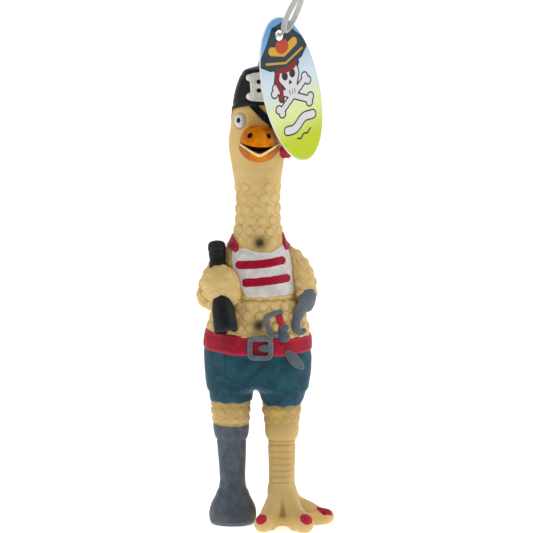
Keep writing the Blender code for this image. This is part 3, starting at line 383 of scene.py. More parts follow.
def tube(rows, count=40, around=32, flat=1.0, flat_axis=(0.0, 1.0, 0.0), dome=0.9):
    """Rings carried along the Catmull-Rom curve through rows of (x, y, z, radius), domed at both ends.

    A ring is centre + r (cos a * side + flat * sin a * up): up is flat_axis made square to the curve and side
    is square to both. The domes add rings whose radius falls as cos t while their centre goes on by dome * r *
    sin t.
    """
    path = curve_points(rows, count)
    centre, radius = path[:, :3], path[:, 3]
    ahead = np.gradient(centre, axis=0)
    ahead /= np.sqrt((ahead**2).sum(1, keepdims=True))
    t = np.radians([88.0, 74.0, 58.0, 40.0, 20.0])
    ends = [(0, -1.0, t), (-1, 1.0, t[::-1])]
    caps = [centre[k] + sign * dome * radius[k] * np.sin(a)[:, None] * ahead[k] for k, sign, a in ends]
    centre = np.vstack([caps[0], centre, caps[1]])
    radius = np.concatenate([radius[0] * np.cos(t), radius, radius[-1] * np.cos(t[::-1])])
    ahead = np.vstack([np.repeat(ahead[:1], 5, 0), ahead, np.repeat(ahead[-1:], 5, 0)])
    up = np.array(flat_axis) - (ahead @ np.array(flat_axis))[:, None] * ahead
    up /= np.sqrt((up**2).sum(1, keepdims=True))
    side = np.cross(ahead, up)
    a = np.linspace(0, 2 * math.pi, around, endpoint=False)
    across = np.cos(a)[None, :, None] * side[:, None] + flat * np.sin(a)[None, :, None] * up[:, None]
    return centre[:, None] + radius[:, None, None] * across


def turned(profile, start, direction, around=64, steps=0):
    """Rings of (distance, radius) along a line from start."""
    profile = np.array(profile, float)
    if steps:
        profile = finer(profile, steps)
    ahead = np.array(direction, float)
    ahead /= math.sqrt(ahead @ ahead)
    helper = np.array([0.0, 0.0, 1.0]) if abs(ahead[2]) < 0.9 else np.array([0.0, 1.0, 0.0])
    side = np.cross(ahead, helper)
    side /= math.sqrt(side @ side)
    up = np.cross(ahead, side)
    a = np.linspace(0, 2 * math.pi, around, endpoint=False)
    ring = np.cos(a)[:, None] * side + np.sin(a)[:, None] * up
    return np.array(start) + profile[:, :1, None] * ahead + profile[:, 1:, None] * ring


def finer(profile, step):
    """The profile with points added so that none are more than a step apart."""
    made = [profile[:1]]
    for a, b in zip(profile, profile[1:]):
        count = max(1, math.ceil(np.sqrt(((b - a) ** 2).sum()) / step))
        made.append(a + (b - a) * (np.arange(1, count + 1) / count)[:, None])
    return np.vstack(made)


# ---- skin detail ------------------------------------------------------------------------------
def ring_bumps(p, centre, ovals, pitch=5.7, row_gap=5.2, size=1.0, seed=0.0):
    """Low discs with a pimple in the middle, in staggered rows round an upright oval column.

    ovals gives the half width and depth at a height. s = (w + d) / 2 * t + (w - d) / 4 * sin 2t is the distance
    round the oval at its angle t. Row k is at k * row_gap and its discs are evenly spaced in s, about pitch
    apart, each moved by up to 0.4 mm. With r the distance to the nearest middle, a disc is 0.74 high inside r =
    1.3 and falls to nothing at 2.1, less rings 0.27 deep at r = 0.95 and 0.13 deep at 2.3.
    """
    nearest = np.full(len(p), 9.0)
    strength = np.ones(len(p))
    base = np.round(p[:, 2] / row_gap)
    for row in (base - 1, base, base + 1):
        wide, deep = ovals(row * row_gap)
        t = np.arctan2((p[:, 0] - centre[0]) / wide, -(p[:, 1] - centre[1]) / deep)
        along = (wide + deep) / 2 * t + (wide - deep) / 4 * np.sin(2 * t)
        gap = math.pi * (wide + deep) / np.maximum(6, np.round(math.pi * (wide + deep) / pitch))
        shift = 0.5 * (row % 2) + 0.13 * np.sin(row * 2.3 + seed)
        column = np.round(along / gap - shift)
        one, two = np.sin(row * 12.9 + column * 7.8 + seed), np.cos(row * 5.3 + column * 11.7 + seed)
        away = np.hypot(along - (column + shift) * gap - 0.4 * one, p[:, 2] - row * row_gap - 0.4 * two) / size
        strength = np.where(away < nearest, 0.8 + 0.2 * one * two, strength)
        nearest = np.minimum(nearest, away)
    disc = 0.74 * (1 - smooth_step(nearest, 1.3, 2.1)) - 0.27 * groove(nearest, 0.95, 0.3)
    disc -= 0.13 * groove(nearest, 2.3, 0.35)
    return strength * disc


def trunk_ovals(z):
    """The trunk's half width and its mean half depth at each height."""
    _, _, wide, front, back = hermite(TRUNK, np.asarray(z, float)).T
    return wide, (front + back) / 2


def wrinkles(p, centre, radius):
    """Fine upright folds in the mould, strongest near centre."""
    near = np.exp(-(((p[:, 0] - centre[0]) ** 2 + (p[:, 2] - centre[1]) ** 2) / radius**2))
    return 0.1 * near * np.sin(p[:, 0] * 5.2 + 0.8 * np.sin(p[:, 2] * 0.9)) * (p[:, 1] < 0)


def soft_spot(p, centre, radius):
    """1 at the middle of an airbrushed spot, falling off as exp(-(d / radius)^2), on the front only."""
    d2 = (p[:, 0] - centre[0]) ** 2 + (p[:, 2] - centre[1]) ** 2
    return np.exp(-d2 / radius**2) * (p[:, 1] < 0)


# ---- materials --------------------------------------------------------------------------------
def linear(rgb):
    """Linear colour from screen values out of 255."""
    c = np.array(rgb, float) / 255
    c = np.where(c <= 0.04045, c / 12.92, ((c + 0.055) / 1.055) ** 2.4)
    return (*c, 1.0)


class Value:
    """A number socket. + - * / and their reflected forms add Math nodes."""

    def __init__(self, shade, socket):
        self.shade, self.socket = shade, socket

    def math(self, operation, *others, reverse=False):
        terms = (*others, self) if reverse else (self, *others)
        return self.shade.node("ShaderNodeMath", {"operation": operation}, *terms)

    def __add__(self, other):
        return self.math("ADD", other)

    def __sub__(self, other):
        return self.math("SUBTRACT", other)

    def __rsub__(self, other):
        return self.math("SUBTRACT", other, reverse=True)

    def __mul__(self, other):
        return self.math("MULTIPLY", other)

    def __truediv__(self, other):
        return self.math("DIVIDE", other)

    __radd__, __rmul__ = __add__, __mul__

    def clipped(self):
        return self.shade.node("ShaderNodeClamp", {}, self)

    def step(self, low, high):
        """0 below low and 1 above high, smooth between."""
        settings = {"interpolation_type": "SMOOTHSTEP"}
        return self.shade.node("ShaderNodeMapRange", settings, self, low, high, 0.0, 1.0)


class Shade:
    """One material's nodes."""

    def __init__(self, name, roughness=0.5, coat=0.0, subsurface=0.0, scatter=(1.0, 0.5, 0.25), specular=0.16):
        self.material = bpy.data.materials.new(name)
        self.material.use_nodes = True
        self.tree = self.material.node_tree
        self.shader = self.tree.nodes["Principled BSDF"]
        sockets = self.shader.inputs
        sockets["Roughness"].default_value = roughness
        sockets["Coat Weight"].default_value = coat
        sockets["Coat Roughness"].default_value = 0.25
        sockets["Subsurface Weight"].default_value = subsurface
        sockets["Subsurface Radius"].default_value = scatter
        sockets["Subsurface Scale"].default_value = 0.002
        sockets["Specular IOR Level"].default_value = specular
        self.place = self.node("ShaderNodeTexCoord", {}, output="Object")

    def node(self, kind, settings, *values, output=0, **named):
        """A new node with its settings, its inputs fed in order or by name."""
        made = self.tree.nodes.new(kind)
        for key, setting in settings.items():
            setattr(made, key, setting)
        for key, value in [*enumerate(values), *named.items()]:
            self.feed(made.inputs[key], value)
        return Value(self, made.outputs[output])

    def feed(self, socket, value):
        if isinstance(value, Value):
            self.tree.links.new(value.socket, socket)
        else:
            socket.default_value = value

    def attribute(self, name):
        """A number stored at each point of the mesh, 0 where there is none."""
        return self.node("ShaderNodeAttribute", {"attribute_name": name}, output="Fac")

    def noise(self, size, detail=3.0, rough=0.5, warp=0.0):
        """Noise from 0 to 1 whose features are about size millimetres."""
        sockets = {"Scale": 1000 / size, "Detail": detail, "Roughness": rough, "Distortion": warp}
        return self.node("ShaderNodeTexNoise", {}, Vector=self.place, **sockets)

    def mix(self, first, second, share):
        """A colour between two, as share goes from 0 to 1."""
        made = self.tree.nodes.new("ShaderNodeMix")
        made.data_type = "RGBA"
        for index, value in ((0, share), (6, first), (7, second)):
            self.feed(made.inputs[index], value)
        return Value(self, made.outputs[2])

    def done(self, colour, roughness, height, distance=0.0004):
        """Links the surface. height is in steps of distance metres."""
        self.feed(self.shader.inputs["Base Color"], colour)
        self.feed(self.shader.inputs["Roughness"], roughness)
        bump = self.node("ShaderNodeBump", {}, Strength=1.0, Distance=distance, Height=height)
        self.feed(self.shader.inputs["Normal"], bump)
        return self.material


def latex_colour(shade):
    """Blotched, specked cream latex; painted shade in hollows and where stored; painted highlight on ridges."""
    hollow = shade.attribute("hollow")
    blotch = shade.noise(14.0, 3.0)
    fine = shade.noise(1.6, 4.0, 0.6)
    cream = shade.mix(linear(LATEX), linear((211, 179, 113)), blotch.step(0.4, 0.72))
    # Painted shade: darker yellow-brown in the hollows.
    hollow_shade = (hollow * 6.5 + (fine - 0.5) * 0.4).step(0.1, 1.3) * 0.62
    shaded = shade.mix(cream, linear(LATEX_SHADE), hollow_shade)
    # Painted shade stored per point: under the shorts' hems and down the fronts of the shins.
    shaded = shade.mix(shaded, linear((160, 128, 72)), shade.attribute("painted_shade").clipped() * 0.6)
    # Painted highlight: paler latex on ridges.
    lifted = (0.0 - hollow * 5.0).step(0.15, 1.1) * 0.22
    pale = shade.mix(shaded, linear((230, 209, 158)), lifted)
    specks = shade.noise(0.45, 2.0).step(0.7, 0.78) * 0.3
    return shade.mix(pale, linear((176, 136, 70)), specks)


def painted(shade, under, name, dark, light, edge=0.09, ridge_highlight=0.35):
    """Brushed rubber paint over under where the attribute is above 0, with painted highlight on high ridges."""
    cover = (shade.attribute(name) + (shade.noise(0.9, 2.0) - 0.5) * 0.12).step(-edge, edge)
    brushed = shade.mix(linear(dark), linear(light), shade.noise(5.0, 4.0, 0.65, 0.4).step(0.3, 0.7))
    # Painted highlight: paler paint on the highest ridges.
    ridge = (0.0 - shade.attribute("hollow") * 7.0 + (shade.noise(0.7, 3.0) - 0.5)).step(0.5, 1.4) * ridge_highlight
    paint = shade.mix(brushed, linear([min(255, c + 34) for c in light]), ridge)
    return shade.mix(under, paint, cover), cover


def skin_bump(shade, cover):
    """Fine orange-peel and mould grain, softer under paint."""
    grain = shade.noise(0.55, 3.0, 0.6) * 0.07 + shade.noise(2.6, 3.0) * 0.22
    return grain * (1.0 - cover * 0.35)


def body_material():
    """Cream latex with the shirt, its stripes and straps, and two airbrushed spots."""
    shade = Shade("chicken_body_latex", subsurface=0.12, specular=0.16)
    colour = latex_colour(shade)
    spots = shade.attribute("spot") * (0.8 + 0.5 * shade.noise(0.8, 3.0))
    colour = shade.mix(colour, linear((58, 47, 34)), spots.clipped())
    colour, shirt = painted(shade, colour, "shirt", (194, 190, 187), (222, 219, 215))
    colour, straps = painted(shade, colour, "strap", (142, 10, 38), (168, 24, 50))
    colour, stripes = painted(shade, colour, "stripe", (150, 2, 38), (166, 4, 42))
    cover = (shirt + straps + stripes).clipped()
    roughness = 0.56 - cover * 0.1 + (shade.noise(3.0, 3.0) - 0.5) * 0.14
    return shade.done(colour, roughness, skin_bump(shade, cover))


def plain_paint(name, dark, light, roughness=0.42, ridge_highlight=0.35, subsurface=0.02):
    """One streaked, brushed rubber paint all over, painted highlight on ridges, painted shade in hollows."""
    shade = Shade(name, subsurface=subsurface)
    hollow = shade.attribute("hollow")
    streaks = shade.noise(6.0, 5.0, 0.6, 0.6)
    paint = shade.mix(linear(dark), linear(light), streaks.step(0.32, 0.7))
    # Painted highlight: paler paint on ridges.
    ridge = (0.0 - hollow * 7.0 + (shade.noise(0.8, 3.0) - 0.5)).step(0.5, 1.5) * ridge_highlight
    paint = shade.mix(paint, linear([min(255, c + 38) for c in light]), ridge)
    # Painted shade: darker paint in hollows.
    deep = (hollow * 5.0).step(0.2, 1.2) * 0.45
    paint = shade.mix(paint, linear([c * 0.55 for c in dark]), deep)
    rough = roughness + (shade.noise(2.2, 4.0) - 0.5) * 0.2
    return shade.done(paint, rough, skin_bump(shade, 1.0))


def leg_material(name, paint, dark, light):
    """Latex, with paint where the attribute named by paint is above 0, and a yellow stain."""
    shade = Shade(name, subsurface=0.1, specular=0.16)
    colour = latex_colour(shade)
    colour = shade.mix(colour, linear((214, 182, 70)), shade.attribute("stain").clipped() * 0.75)
    colour, cover = painted(shade, colour, paint, dark, light)
    rough = 0.56 - cover * 0.12 + (shade.noise(3.0, 3.0) - 0.5) * 0.14
    return shade.done(colour, rough, skin_bump(shade, cover))


def head_material():
    """Cream latex, the red scarf, the black cap and patch, and the off-white emblem with its black sockets."""
    shade = Shade("chicken_head_latex", subsurface=0.12, specular=0.16)
    colour = latex_colour(shade)
    colour = shade.mix(colour, linear((176, 122, 50)), shade.attribute("flush").clipped() * 0.55)
    colour, scarf = painted(shade, colour, "scarf", (140, 18, 36), (182, 30, 54))
    colour, cap = painted(shade, colour, "cap", (9, 10, 12), (19, 20, 23), ridge_highlight=0.25)
    colour, emblem = painted(shade, colour, "emblem", (186, 184, 176), (224, 222, 216))
    colour, _ = painted(shade, colour, "socket", (18, 18, 20), (26, 26, 28), ridge_highlight=0.0)
    cover = (scarf + cap + emblem).clipped()
    roughness = 0.56 - cover * 0.14 + (shade.noise(3.0, 3.0) - 0.5) * 0.14
    return shade.done(colour, roughness, skin_bump(shade, cover))


def bill_material():
    """Orange paint with painted shadow and shade, a bare cream lip, a dark mouth and black nostrils."""
    shade = Shade("chicken_bill_paint", subsurface=0.02, specular=0.06)
    hollow = shade.attribute("hollow")
    orange = shade.mix(
        linear((200, 96, 0)), linear((236, 142, 2)), shade.noise(5.0, 4.0, 0.6, 0.5).step(0.3, 0.7)
    )
    # Painted shadow: darker down the right side, a little on the left, and over the lower bill.
    orange = shade.mix(orange, linear((122, 60, 6)), shade.attribute("shadow").clipped() * 0.7)
    # Painted shade: darker in hollows.
    orange = shade.mix(orange, linear((150, 58, 0)), (hollow * 5.0).step(0.1, 1.0) * 0.7)
    colour, _ = painted(shade, orange, "lip", (216, 180, 112), (240, 212, 160))
    colour, mouth = painted(shade, colour, "mouth", (96, 42, 10), (126, 60, 18), ridge_highlight=0.1)
    colour, _ = painted(shade, colour, "nostril", (24, 18, 14), (34, 26, 20), ridge_highlight=0.0)
    rough = 0.42 + mouth * 0.2 + (shade.noise(2.4, 4.0) - 0.5) * 0.16
    return shade.done(colour, rough, skin_bump(shade, mouth))


def eye_material():
    """Glossy white paint with painted shade round the rim, and a black pupil."""
    shade = Shade("eye_paint", subsurface=0.03, coat=0.3)
    white = shade.mix(linear((214, 210, 212)), linear((236, 233, 235)), shade.noise(2.0, 3.0).step(0.3, 0.7))
    # Painted shade: darker where the white dome meets the face.
    rim_shaded = shade.mix(white, linear((150, 132, 110)), shade.attribute("rim").step(0.8, 1.02) * 0.5)
    colour, _ = painted(shade, rim_shaded, "pupil", (20, 18, 18), (34, 30, 28), ridge_highlight=0.0)
    return shade.done(colour, 0.32 + shade.noise(1.5, 3.0) * 0.1, shade.noise(0.8, 3.0) * 0.12)


# ---- the body: chest, arms, neck ----------------------------------------------------------------
BODY_LOW, BODY_HIGH = 89.5, 174.5  # cut under the belt and inside the head
SEAT_R, SEAT_DEEP = 7.3, 1.3  # recess for the squeaker's flange
SPOTS = (((1.0, 139.8), 3.3), ((0.5, 100.1), 3.4))  # middle and radius of each airbrushed spot
BODY_CELL, SHORTS_CELL, FOOT_CELL, BILL_CELL = 0.47, 0.42, 0.4, 0.27  # grid steps


def arm_fields(p):
    """The arm with the fist, and the arm with the hook."""
    bent = blended(limb_field(p, BENT_ARM), limb_field(p, FOREARM, 7), 2.5)
    fist = blended(ball_field(p, *FIST), limb_field(p, KNUCKLES, 4), 3.0)
    return blended(bent, fist, 1.6), limb_field(p, HOOK_ARM)


def body_field(p):
    """Trunk and arms filleted together, cut flat at both ends, with a round recess behind for the squeaker."""
    bent, hook = arm_fields(p)
    arms = np.minimum(bent, hook)
    body = blended(trunk_field(p), arms, 1.5)
    rear, z = squeaker_seat()
    seat = np.maximum(np.hypot(p[:, 0], p[:, 2] - z) - SEAT_R, rear - SEAT_DEEP - p[:, 1])
    body = carved(body, seat, 0.7)
    return np.maximum(np.maximum(body, BODY_LOW - p[:, 2]), p[:, 2] - BODY_HIGH)


def squeaker_seat():
    """The rear face and the height of the squeaker, in mm from the toy's middle."""
    low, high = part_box("squeaker_body")
    return (high[1] - OFFSET[1]) * 1000, (low[2] + high[2]) * 500


SHIRT_FRONT = [
    (-12.1, 136.6),
    (-9.2, 136.6),
    (-5.9, 136.9),
    (-2.5, 135.6),
    (1.5, 134.7),
    (6.4, 135.0),
    (10.3, 136.8),
    (12.6, 139.0),
    (14.6, 136.4),
    (15.4, 132.0),
    (16.4, 127.0),
    (17.2, 121.6),
    (17.7, 117.3),
    (17.0, 115.0),
    (12.3, 114.7),
    (3.4, 114.0),
    (-5.4, 114.1),
    (-6.9, 116.6),
    (-8.8, 122.5),
    (-9.4, 125.2),
    (-11.8, 127.4),
    (-12.3, 131.0),
]
SHIRT_BACK = [
    (-15.2, 137.0), (-6.0, 136.0), (6.0, 136.0), (15.2, 137.0), (19.0, 128.0), (18.4, 113.4), (-18.4, 113.4)
]
STRIPES = [  # centre lines
    [(-9.0, 129.1), (-2.0, 129.4), (4.0, 129.9), (11.6, 131.2)],
    [(-5.8, 120.6), (0.0, 121.0), (6.0, 121.6), (13.9, 122.5)],
]
STRIPE_HALF = 2.05
STRAPS = [
    [
        (-13.6, 144.8), (-16.6, 140.2), (-12.9, 136.8), (-10.9, 135.6), (-9.8, 136.6), (-10.0, 138.8),
        (-12.0, 141.6),
    ],
    [(12.4, 143.8), (15.8, 139.2), (15.0, 136.8), (13.9, 136.5), (12.7, 138.8)],
]


def body_values(p):
    """Painted areas, positive inside, in mm, and the airbrushed spots."""
    bent, hook = arm_fields(p)
    off_arms = np.minimum(bent, hook) - 0.3
    uneven = 0.16 * waver(p, 7.0, 1.0)
    front = p[:, 1] < 0
    shape = np.where(front, outline_distance(p[:, 0], p[:, 2], SHIRT_FRONT, 0.3), 0.0)
    shape = np.where(front, shape, outline_distance(p[:, 0], p[:, 2], SHIRT_BACK, 0.5))
    shirt = np.minimum(-shape, off_arms) + uneven
    bars = np.minimum(*(line_distance(p[:, 0], p[:, 2], s, STRIPE_HALF) for s in STRIPES))
    stripe = np.minimum(np.minimum(-bars, shirt - 0.5), off_arms) + 0.12 * waver(p, 5.0, 4.0)
    strips = np.minimum(*(outline_distance(p[:, 0], p[:, 2], s, 0.6) for s in STRAPS))
    strap = np.minimum(-strips, off_arms + 0.5) + uneven
    spot = sum(soft_spot(p, *where) for where in SPOTS)
    return {"shirt": shirt, "stripe": stripe, "strap": strap, "spot": spot}


SHIRT_RAISED, STRIPE_RAISED, STRAP_RAISED, SEAT_LIP = 0.45, 0.3, 0.7, 0.55
ARM_BUMPS = (5.2, 5.0, 0.95)  # pitch, row gap and size of the ring bumps on the arms
ARM_AT, ARM_R = (17.0, -4.0), 9.5


def body_relief(p, values):
    """Outward steps in mm: raised shirt, stripes and straps, ring bumps on bare skin, folds under the spots."""
    bent, hook = arm_fields(p)
    trunk = trunk_field(p)
    rise = SHIRT_RAISED * smooth_step(values["shirt"], -0.35, 0.35)
    rise += STRIPE_RAISED * smooth_step(values["stripe"], -0.3, 0.3)
    rise += STRAP_RAISED * smooth_step(values["strap"], -0.4, 0.4)
    bare = smooth_step(-np.maximum(values["shirt"], values["strap"]), 0.2, 1.2)
    on_trunk = smooth_step(np.minimum(bent, hook) - trunk, 0.2, 1.5)
    below_chin = 1 - smooth_step(p[:, 2], 167.0, 172.0)
    above_belt = smooth_step(p[:, 2], 92.0, 94.0)
    from_seat = np.hypot(p[:, 0], p[:, 2] - squeaker_seat()[1]) + 99.0 * (p[:, 1] < 0)
    strength = bare * below_chin * above_belt * smooth_step(from_seat, 9.0, 10.6)
    strength = strength * (1 - 0.18 * smooth_step(p[:, 2], 134.0, 142.0))
    plain = groove(p[:, 2], 136.0, 5.0) * (p[:, 1] < 0)
    rise += strength * on_trunk * (1 - 0.7 * plain) * ring_bumps(p, (0.0, 0.0), trunk_ovals)
    for side in (-1, 1):
        here = strength * (1 - on_trunk) * (p[:, 0] * side > 0) * 0.9
        middle = (side * ARM_AT[0], ARM_AT[1])
        rise += here * ring_bumps(p, middle, lambda z: (ARM_R + 0 * z,) * 2, *ARM_BUMPS, side * 2.0)
    rise += SEAT_LIP * groove(from_seat, SEAT_R + 1.0, 0.7)
    rise += bare * (wrinkles(p, (1.0, 138.0), 8.0) + wrinkles(p, (0.5, 97.0), 8.0))
    crease = groove(p[:, 2], 112.0, 0.8) * (p[:, 1] < 0) * on_trunk
    tucked = 1 - smooth_step(p[:, 2], 92.0, 94.5)
    return rise - 0.35 * crease - 0.45 * tucked + 0.05 * waver(p, 11.0, 2.0)


def build_body():
    """Chest, both arms and the neck, one moulding."""
    points, quads = mesh_of_field(body_field, (-32.0, -22.0, 88.0), (32.0, 18.5, 176.0), BODY_CELL)
    quads = outward(points, quads)
    values = body_values(points)
    points = points + normals_of(points, quads) * body_relief(points, values)[:, None]
    values = body_values(points)
    piece = place("chest_arms_and_neck", points, [quads], body_material(), values, body=None)
    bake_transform(piece)
    shirts = (
        "shirt_front", "shirt_back", "shirt_stripe_upper", "shirt_stripe_lower", "strap_left", "strap_right"
    )
    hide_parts("torso_skin", "neck_skin", *shirts)


# ---- shorts and belt ----------------------------------------------------------------------------
SHORTS_LEGS = [(-13.3, 10.2, 0.13), (11.95, 9.9, 0.36)]  # middle, radius at the hem, growth per mm up
SHORTS_TOP = 93.5
HEM_Z, HEM_DROP = 62.3, (1.2, 2.9)  # the hem, and how far it dips in front on the right and the left leg


def shorts_field(p):
    """The trunk's own oval, narrowed below the hips to two oval legs; the legs' walls open out above z = 65."""
    deep = 10.9 + 5.6 * smooth_step(p[:, 2], 60.0, 69.0)
    legs = 99.0
    for x, radius, growth in SHORTS_LEGS:
        r = radius + growth * (p[:, 2] - 61.0)
        legs = np.minimum(legs, np.hypot(p[:, 0] - x, p[:, 1] * r / deep) - r)
    legs = legs - 9.0 * smooth_step(p[:, 2], 65.2, 73.0)
    body = -blended(-trunk_field(p), -legs, 2.0) - 0.15
    drop = np.where(p[:, 0] > 0, HEM_DROP[1], HEM_DROP[0])
    hem = HEM_Z - drop * smooth_step(-p[:, 1], -3.0, 8.0) + 0.3 * np.sin(p[:, 0] * 0.9)
    return np.maximum(np.maximum(body, hem - p[:, 2]), p[:, 2] - SHORTS_TOP)


def build_shorts():
    """Teal shorts with the belly's fold over the legs."""
    points, quads = mesh_of_field(shorts_field, (-28.0, -21.0, 58.0), (28.0, 20.0, SHORTS_TOP), SHORTS_CELL)
    quads = outward(points, quads)
    rise = 0.12 * waver(points, 13.0, 5.0) + 0.05 * waver(points, 4.0, 2.0)
    under_belt = np.exp(-(((points[:, 2] - belt_low(points) + 1.2) / 1.0) ** 2))
    points = points + normals_of(points, quads) * (rise - 0.15 * under_belt)[:, None]
    paint = plain_paint("shorts_paint", (20, 58, 72), (32, 82, 98), 0.5)
    piece = place("shorts_moulding", points, [quads], paint)
    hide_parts("shorts")


BELT_RAISED = 0.62
HOLES_X, HOLES_Z = (9.2, 12.8, 15.6), 88.8  # small dents to the left of the buckle


def belt_top(p):
    """The belt's upper edge: leaning a little to the left, higher behind, with a slight wave."""
    return 95.75 - 0.056 * p[..., 0] + 0.085 * p[..., 1] + 0.2 * np.sin(p[..., 0] * 0.35)


def belt_low(p):
    """The belt's lower edge: dipping in front, with a slight wave."""
    return 88.0 - 0.02 * p[..., 0] + 0.17 * p[..., 1] - 0.2 * np.sin(p[..., 0] * 0.5 + 1.0)


def on_trunk(angle, z, lift):
    """Points on the trunk's ovals at each angle (0 in front, growing to +X) and height, lift mm outside."""
    cx, cy, width, front, back = hermite(TRUNK, z.ravel()).T.reshape(5, *z.shape)
    depth = np.where(np.cos(angle) > 0, front, back) + lift
    return np.stack([cx + (width + lift) * np.sin(angle), cy - depth * np.cos(angle), z], -1)


def build_belt():
    """A raised crimson band. Its section is a flat face with rounded edges, carried round the waist's ovals."""
    angle = np.linspace(-math.pi, math.pi, 420, endpoint=False)
    across = np.concatenate(
        [[0.0, 0.0, 0.015, 0.04, 0.09], np.linspace(0.15, 0.85, 18), [0.91, 0.96, 0.985, 1.0, 1.0]]
    )
    lift = BELT_RAISED * np.concatenate(
        [[-1.6, 0.1, 0.6, 0.9, 1.02], np.full(18, 1.05), [1.02, 0.9, 0.6, 0.1, -1.6]]
    )
    turn, share = np.meshgrid(angle, across, indexing="ij")
    height = np.broadcast_to(lift, turn.shape)
    rough = on_trunk(turn, np.full(turn.shape, 91.0), 0.0)
    z = belt_low(rough) + (belt_top(rough) - belt_low(rough)) * share
    points = on_trunk(turn, z, height)
    flat = points.reshape(-1, 3)
    swell = np.interp(
        share, [0.0, 0.3, 0.5, 0.7, 1.0], [0.0, 0.12, 0.18, 0.12, 0.0]
    ).ravel() * (height.ravel() > 0.4)
    swell += 0.06 * waver(flat, 9.0, 3.0)
    for x in HOLES_X:
        swell = swell - 0.3 * soft_spot(flat, (x, HOLES_Z), math.sqrt(0.35))
    outward = flat * [1.0, 1.0, 0.0]
    outward /= np.sqrt((outward**2).sum(1, keepdims=True))
    points = flat + outward * swell[:, None]
    quads = ring_faces(*turn.shape)
    paint = plain_paint("belt_paint", (142, 10, 36), (172, 22, 48), 0.45)
    piece = place("belt_moulding", points, [quads], paint)
    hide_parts("belt")


def relief_plate(
    name, outline, lift, crown, material, node, table=TRUNK, cells=(90, 90), behind=1.6
):
    """A raised plate on the front: a disc grid whose rim follows the outline, crowned in the middle.

    At share s from the middle to the rim a point is middle + s (rim - middle), lifted by lift + crown (1 - s^4)
    and dropping to behind mm inside the skin at the rim.
    """
    outline = np.array(outline, float)
    rim = curve_loop(outline, cells[0])
    middle = outline.mean(0)
    s = np.concatenate([np.linspace(0.02, 0.9, cells[1] // 3), [0.94, 0.97, 0.99, 1.0, 1.0, 1.0]])
    fall = np.concatenate(
        [np.zeros(cells[1] // 3), [0.06, 0.18, 0.4, 0.75, 1.0, 1.0 + behind / max(lift, 0.1)]]
    )
    flat = middle + s[:, None, None] * (rim - middle)
    height = lift * (1 - fall)[:, None] + crown * (1 - s**4)[:, None]
    height = np.broadcast_to(height, flat.shape[:2])
    y = front_y(flat[..., 0].ravel(), flat[..., 1].ravel(), table).reshape(height.shape) - height
    points = np.stack([flat[..., 0], y, flat[..., 1]], -1)
    flat_points, quads, fans = closed_grid(points)
    piece = place(name, flat_points, [quads, fans], material)
    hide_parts(node)
    return piece


def squared(wave, power):
    """sign(wave) * |wave|^power: a sine or cosine that makes a circle squarer."""
    return np.sign(wave) * np.abs(wave) ** power


def curve_loop(corners, count):
    """count points on the closed Catmull-Rom curve through the corners."""
    rows = np.vstack([corners[-1:], corners, corners[:2]])
    at = np.linspace(0, len(corners), count, endpoint=False)
    i = at.astype(int)
    t = (at - i)[:, None]
    a, b, c, d = rows[i], rows[i + 1], rows[i + 2], rows[np.minimum(i + 3, len(rows) - 1)]
    return 0.5 * (2 * b + (c - a) * t + (2 * a - 5 * b + 4 * c - d) * t**2 + (3 * b - a - 3 * c + d) * t**3)


BUCKLE_AT, BUCKLE_HALF = (1.2, 89.2), (5.0, 4.7)
BUCKLE_BAR = 1.25  # half the bar's thickness
BUCKLE_CORNER, BAR_CORNER = 0.36, 0.6  # powers of sin and cos: the less, the squarer


def build_buckle(paint):
    """The buckle's frame: a rounded bar section carried round a rounded rectangle that lies on the belt."""
    count, around = 240, 28
    a = np.linspace(0, 2 * math.pi, count, endpoint=False)
    x = BUCKLE_AT[0] + BUCKLE_HALF[0] * squared(np.cos(a), BUCKLE_CORNER)
    z = BUCKLE_AT[1] + BUCKLE_HALF[1] * squared(np.sin(a), BUCKLE_CORNER)
    y = front_y(x, np.clip(z, 84.0, 93.0)) - 1.5
    centre = np.stack([x, y, z], 1)
    ahead = np.roll(centre, -1, 0) - np.roll(centre, 1, 0)
    ahead /= np.sqrt((ahead**2).sum(1, keepdims=True))
    side = np.cross(ahead, np.array([0.0, 1.0, 0.0]))
    side /= np.sqrt((side**2).sum(1, keepdims=True))
    b = np.linspace(0, 2 * math.pi, around, endpoint=False)
    wide = BUCKLE_BAR * squared(np.cos(b), BAR_CORNER)
    deep = BUCKLE_BAR * squared(np.sin(b), BAR_CORNER)
    points = centre[:, None] + wide[None, :, None] * side[:, None] + deep[None, :, None] * np.array([0, 1, 0])
    flat = points.reshape(-1, 3)
    flat = flat + 0.06 * waver(flat, 4.0, 7.0)[:, None] * [0, 1, 0]
    piece = place("buckle_bar_moulding", flat, [ring_faces(count, around)], paint)
    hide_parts("buckle_frame")


TONGUE = [(7.4, 90.4), (4.2, 91.3), (1.2, 90.6), (0.2, 89.3), (1.2, 88.1), (4.2, 87.4), (7.4, 87.8)]
BLADE = [
    (13.2, 87.4), (15.4, 87.8), (18.6, 86.0), (21.6, 82.0), (22.6, 78.6), (21.2, 77.6), (17.4, 79.6),
    (14.2, 83.2),
]
KNUCKLE_BOW = [(11.4, 106.4), (8.0, 105.6), (4.9, 104.5), (4.1, 102.9), (5.0, 99.4), (6.6, 96.1), (9.4, 95.0)]


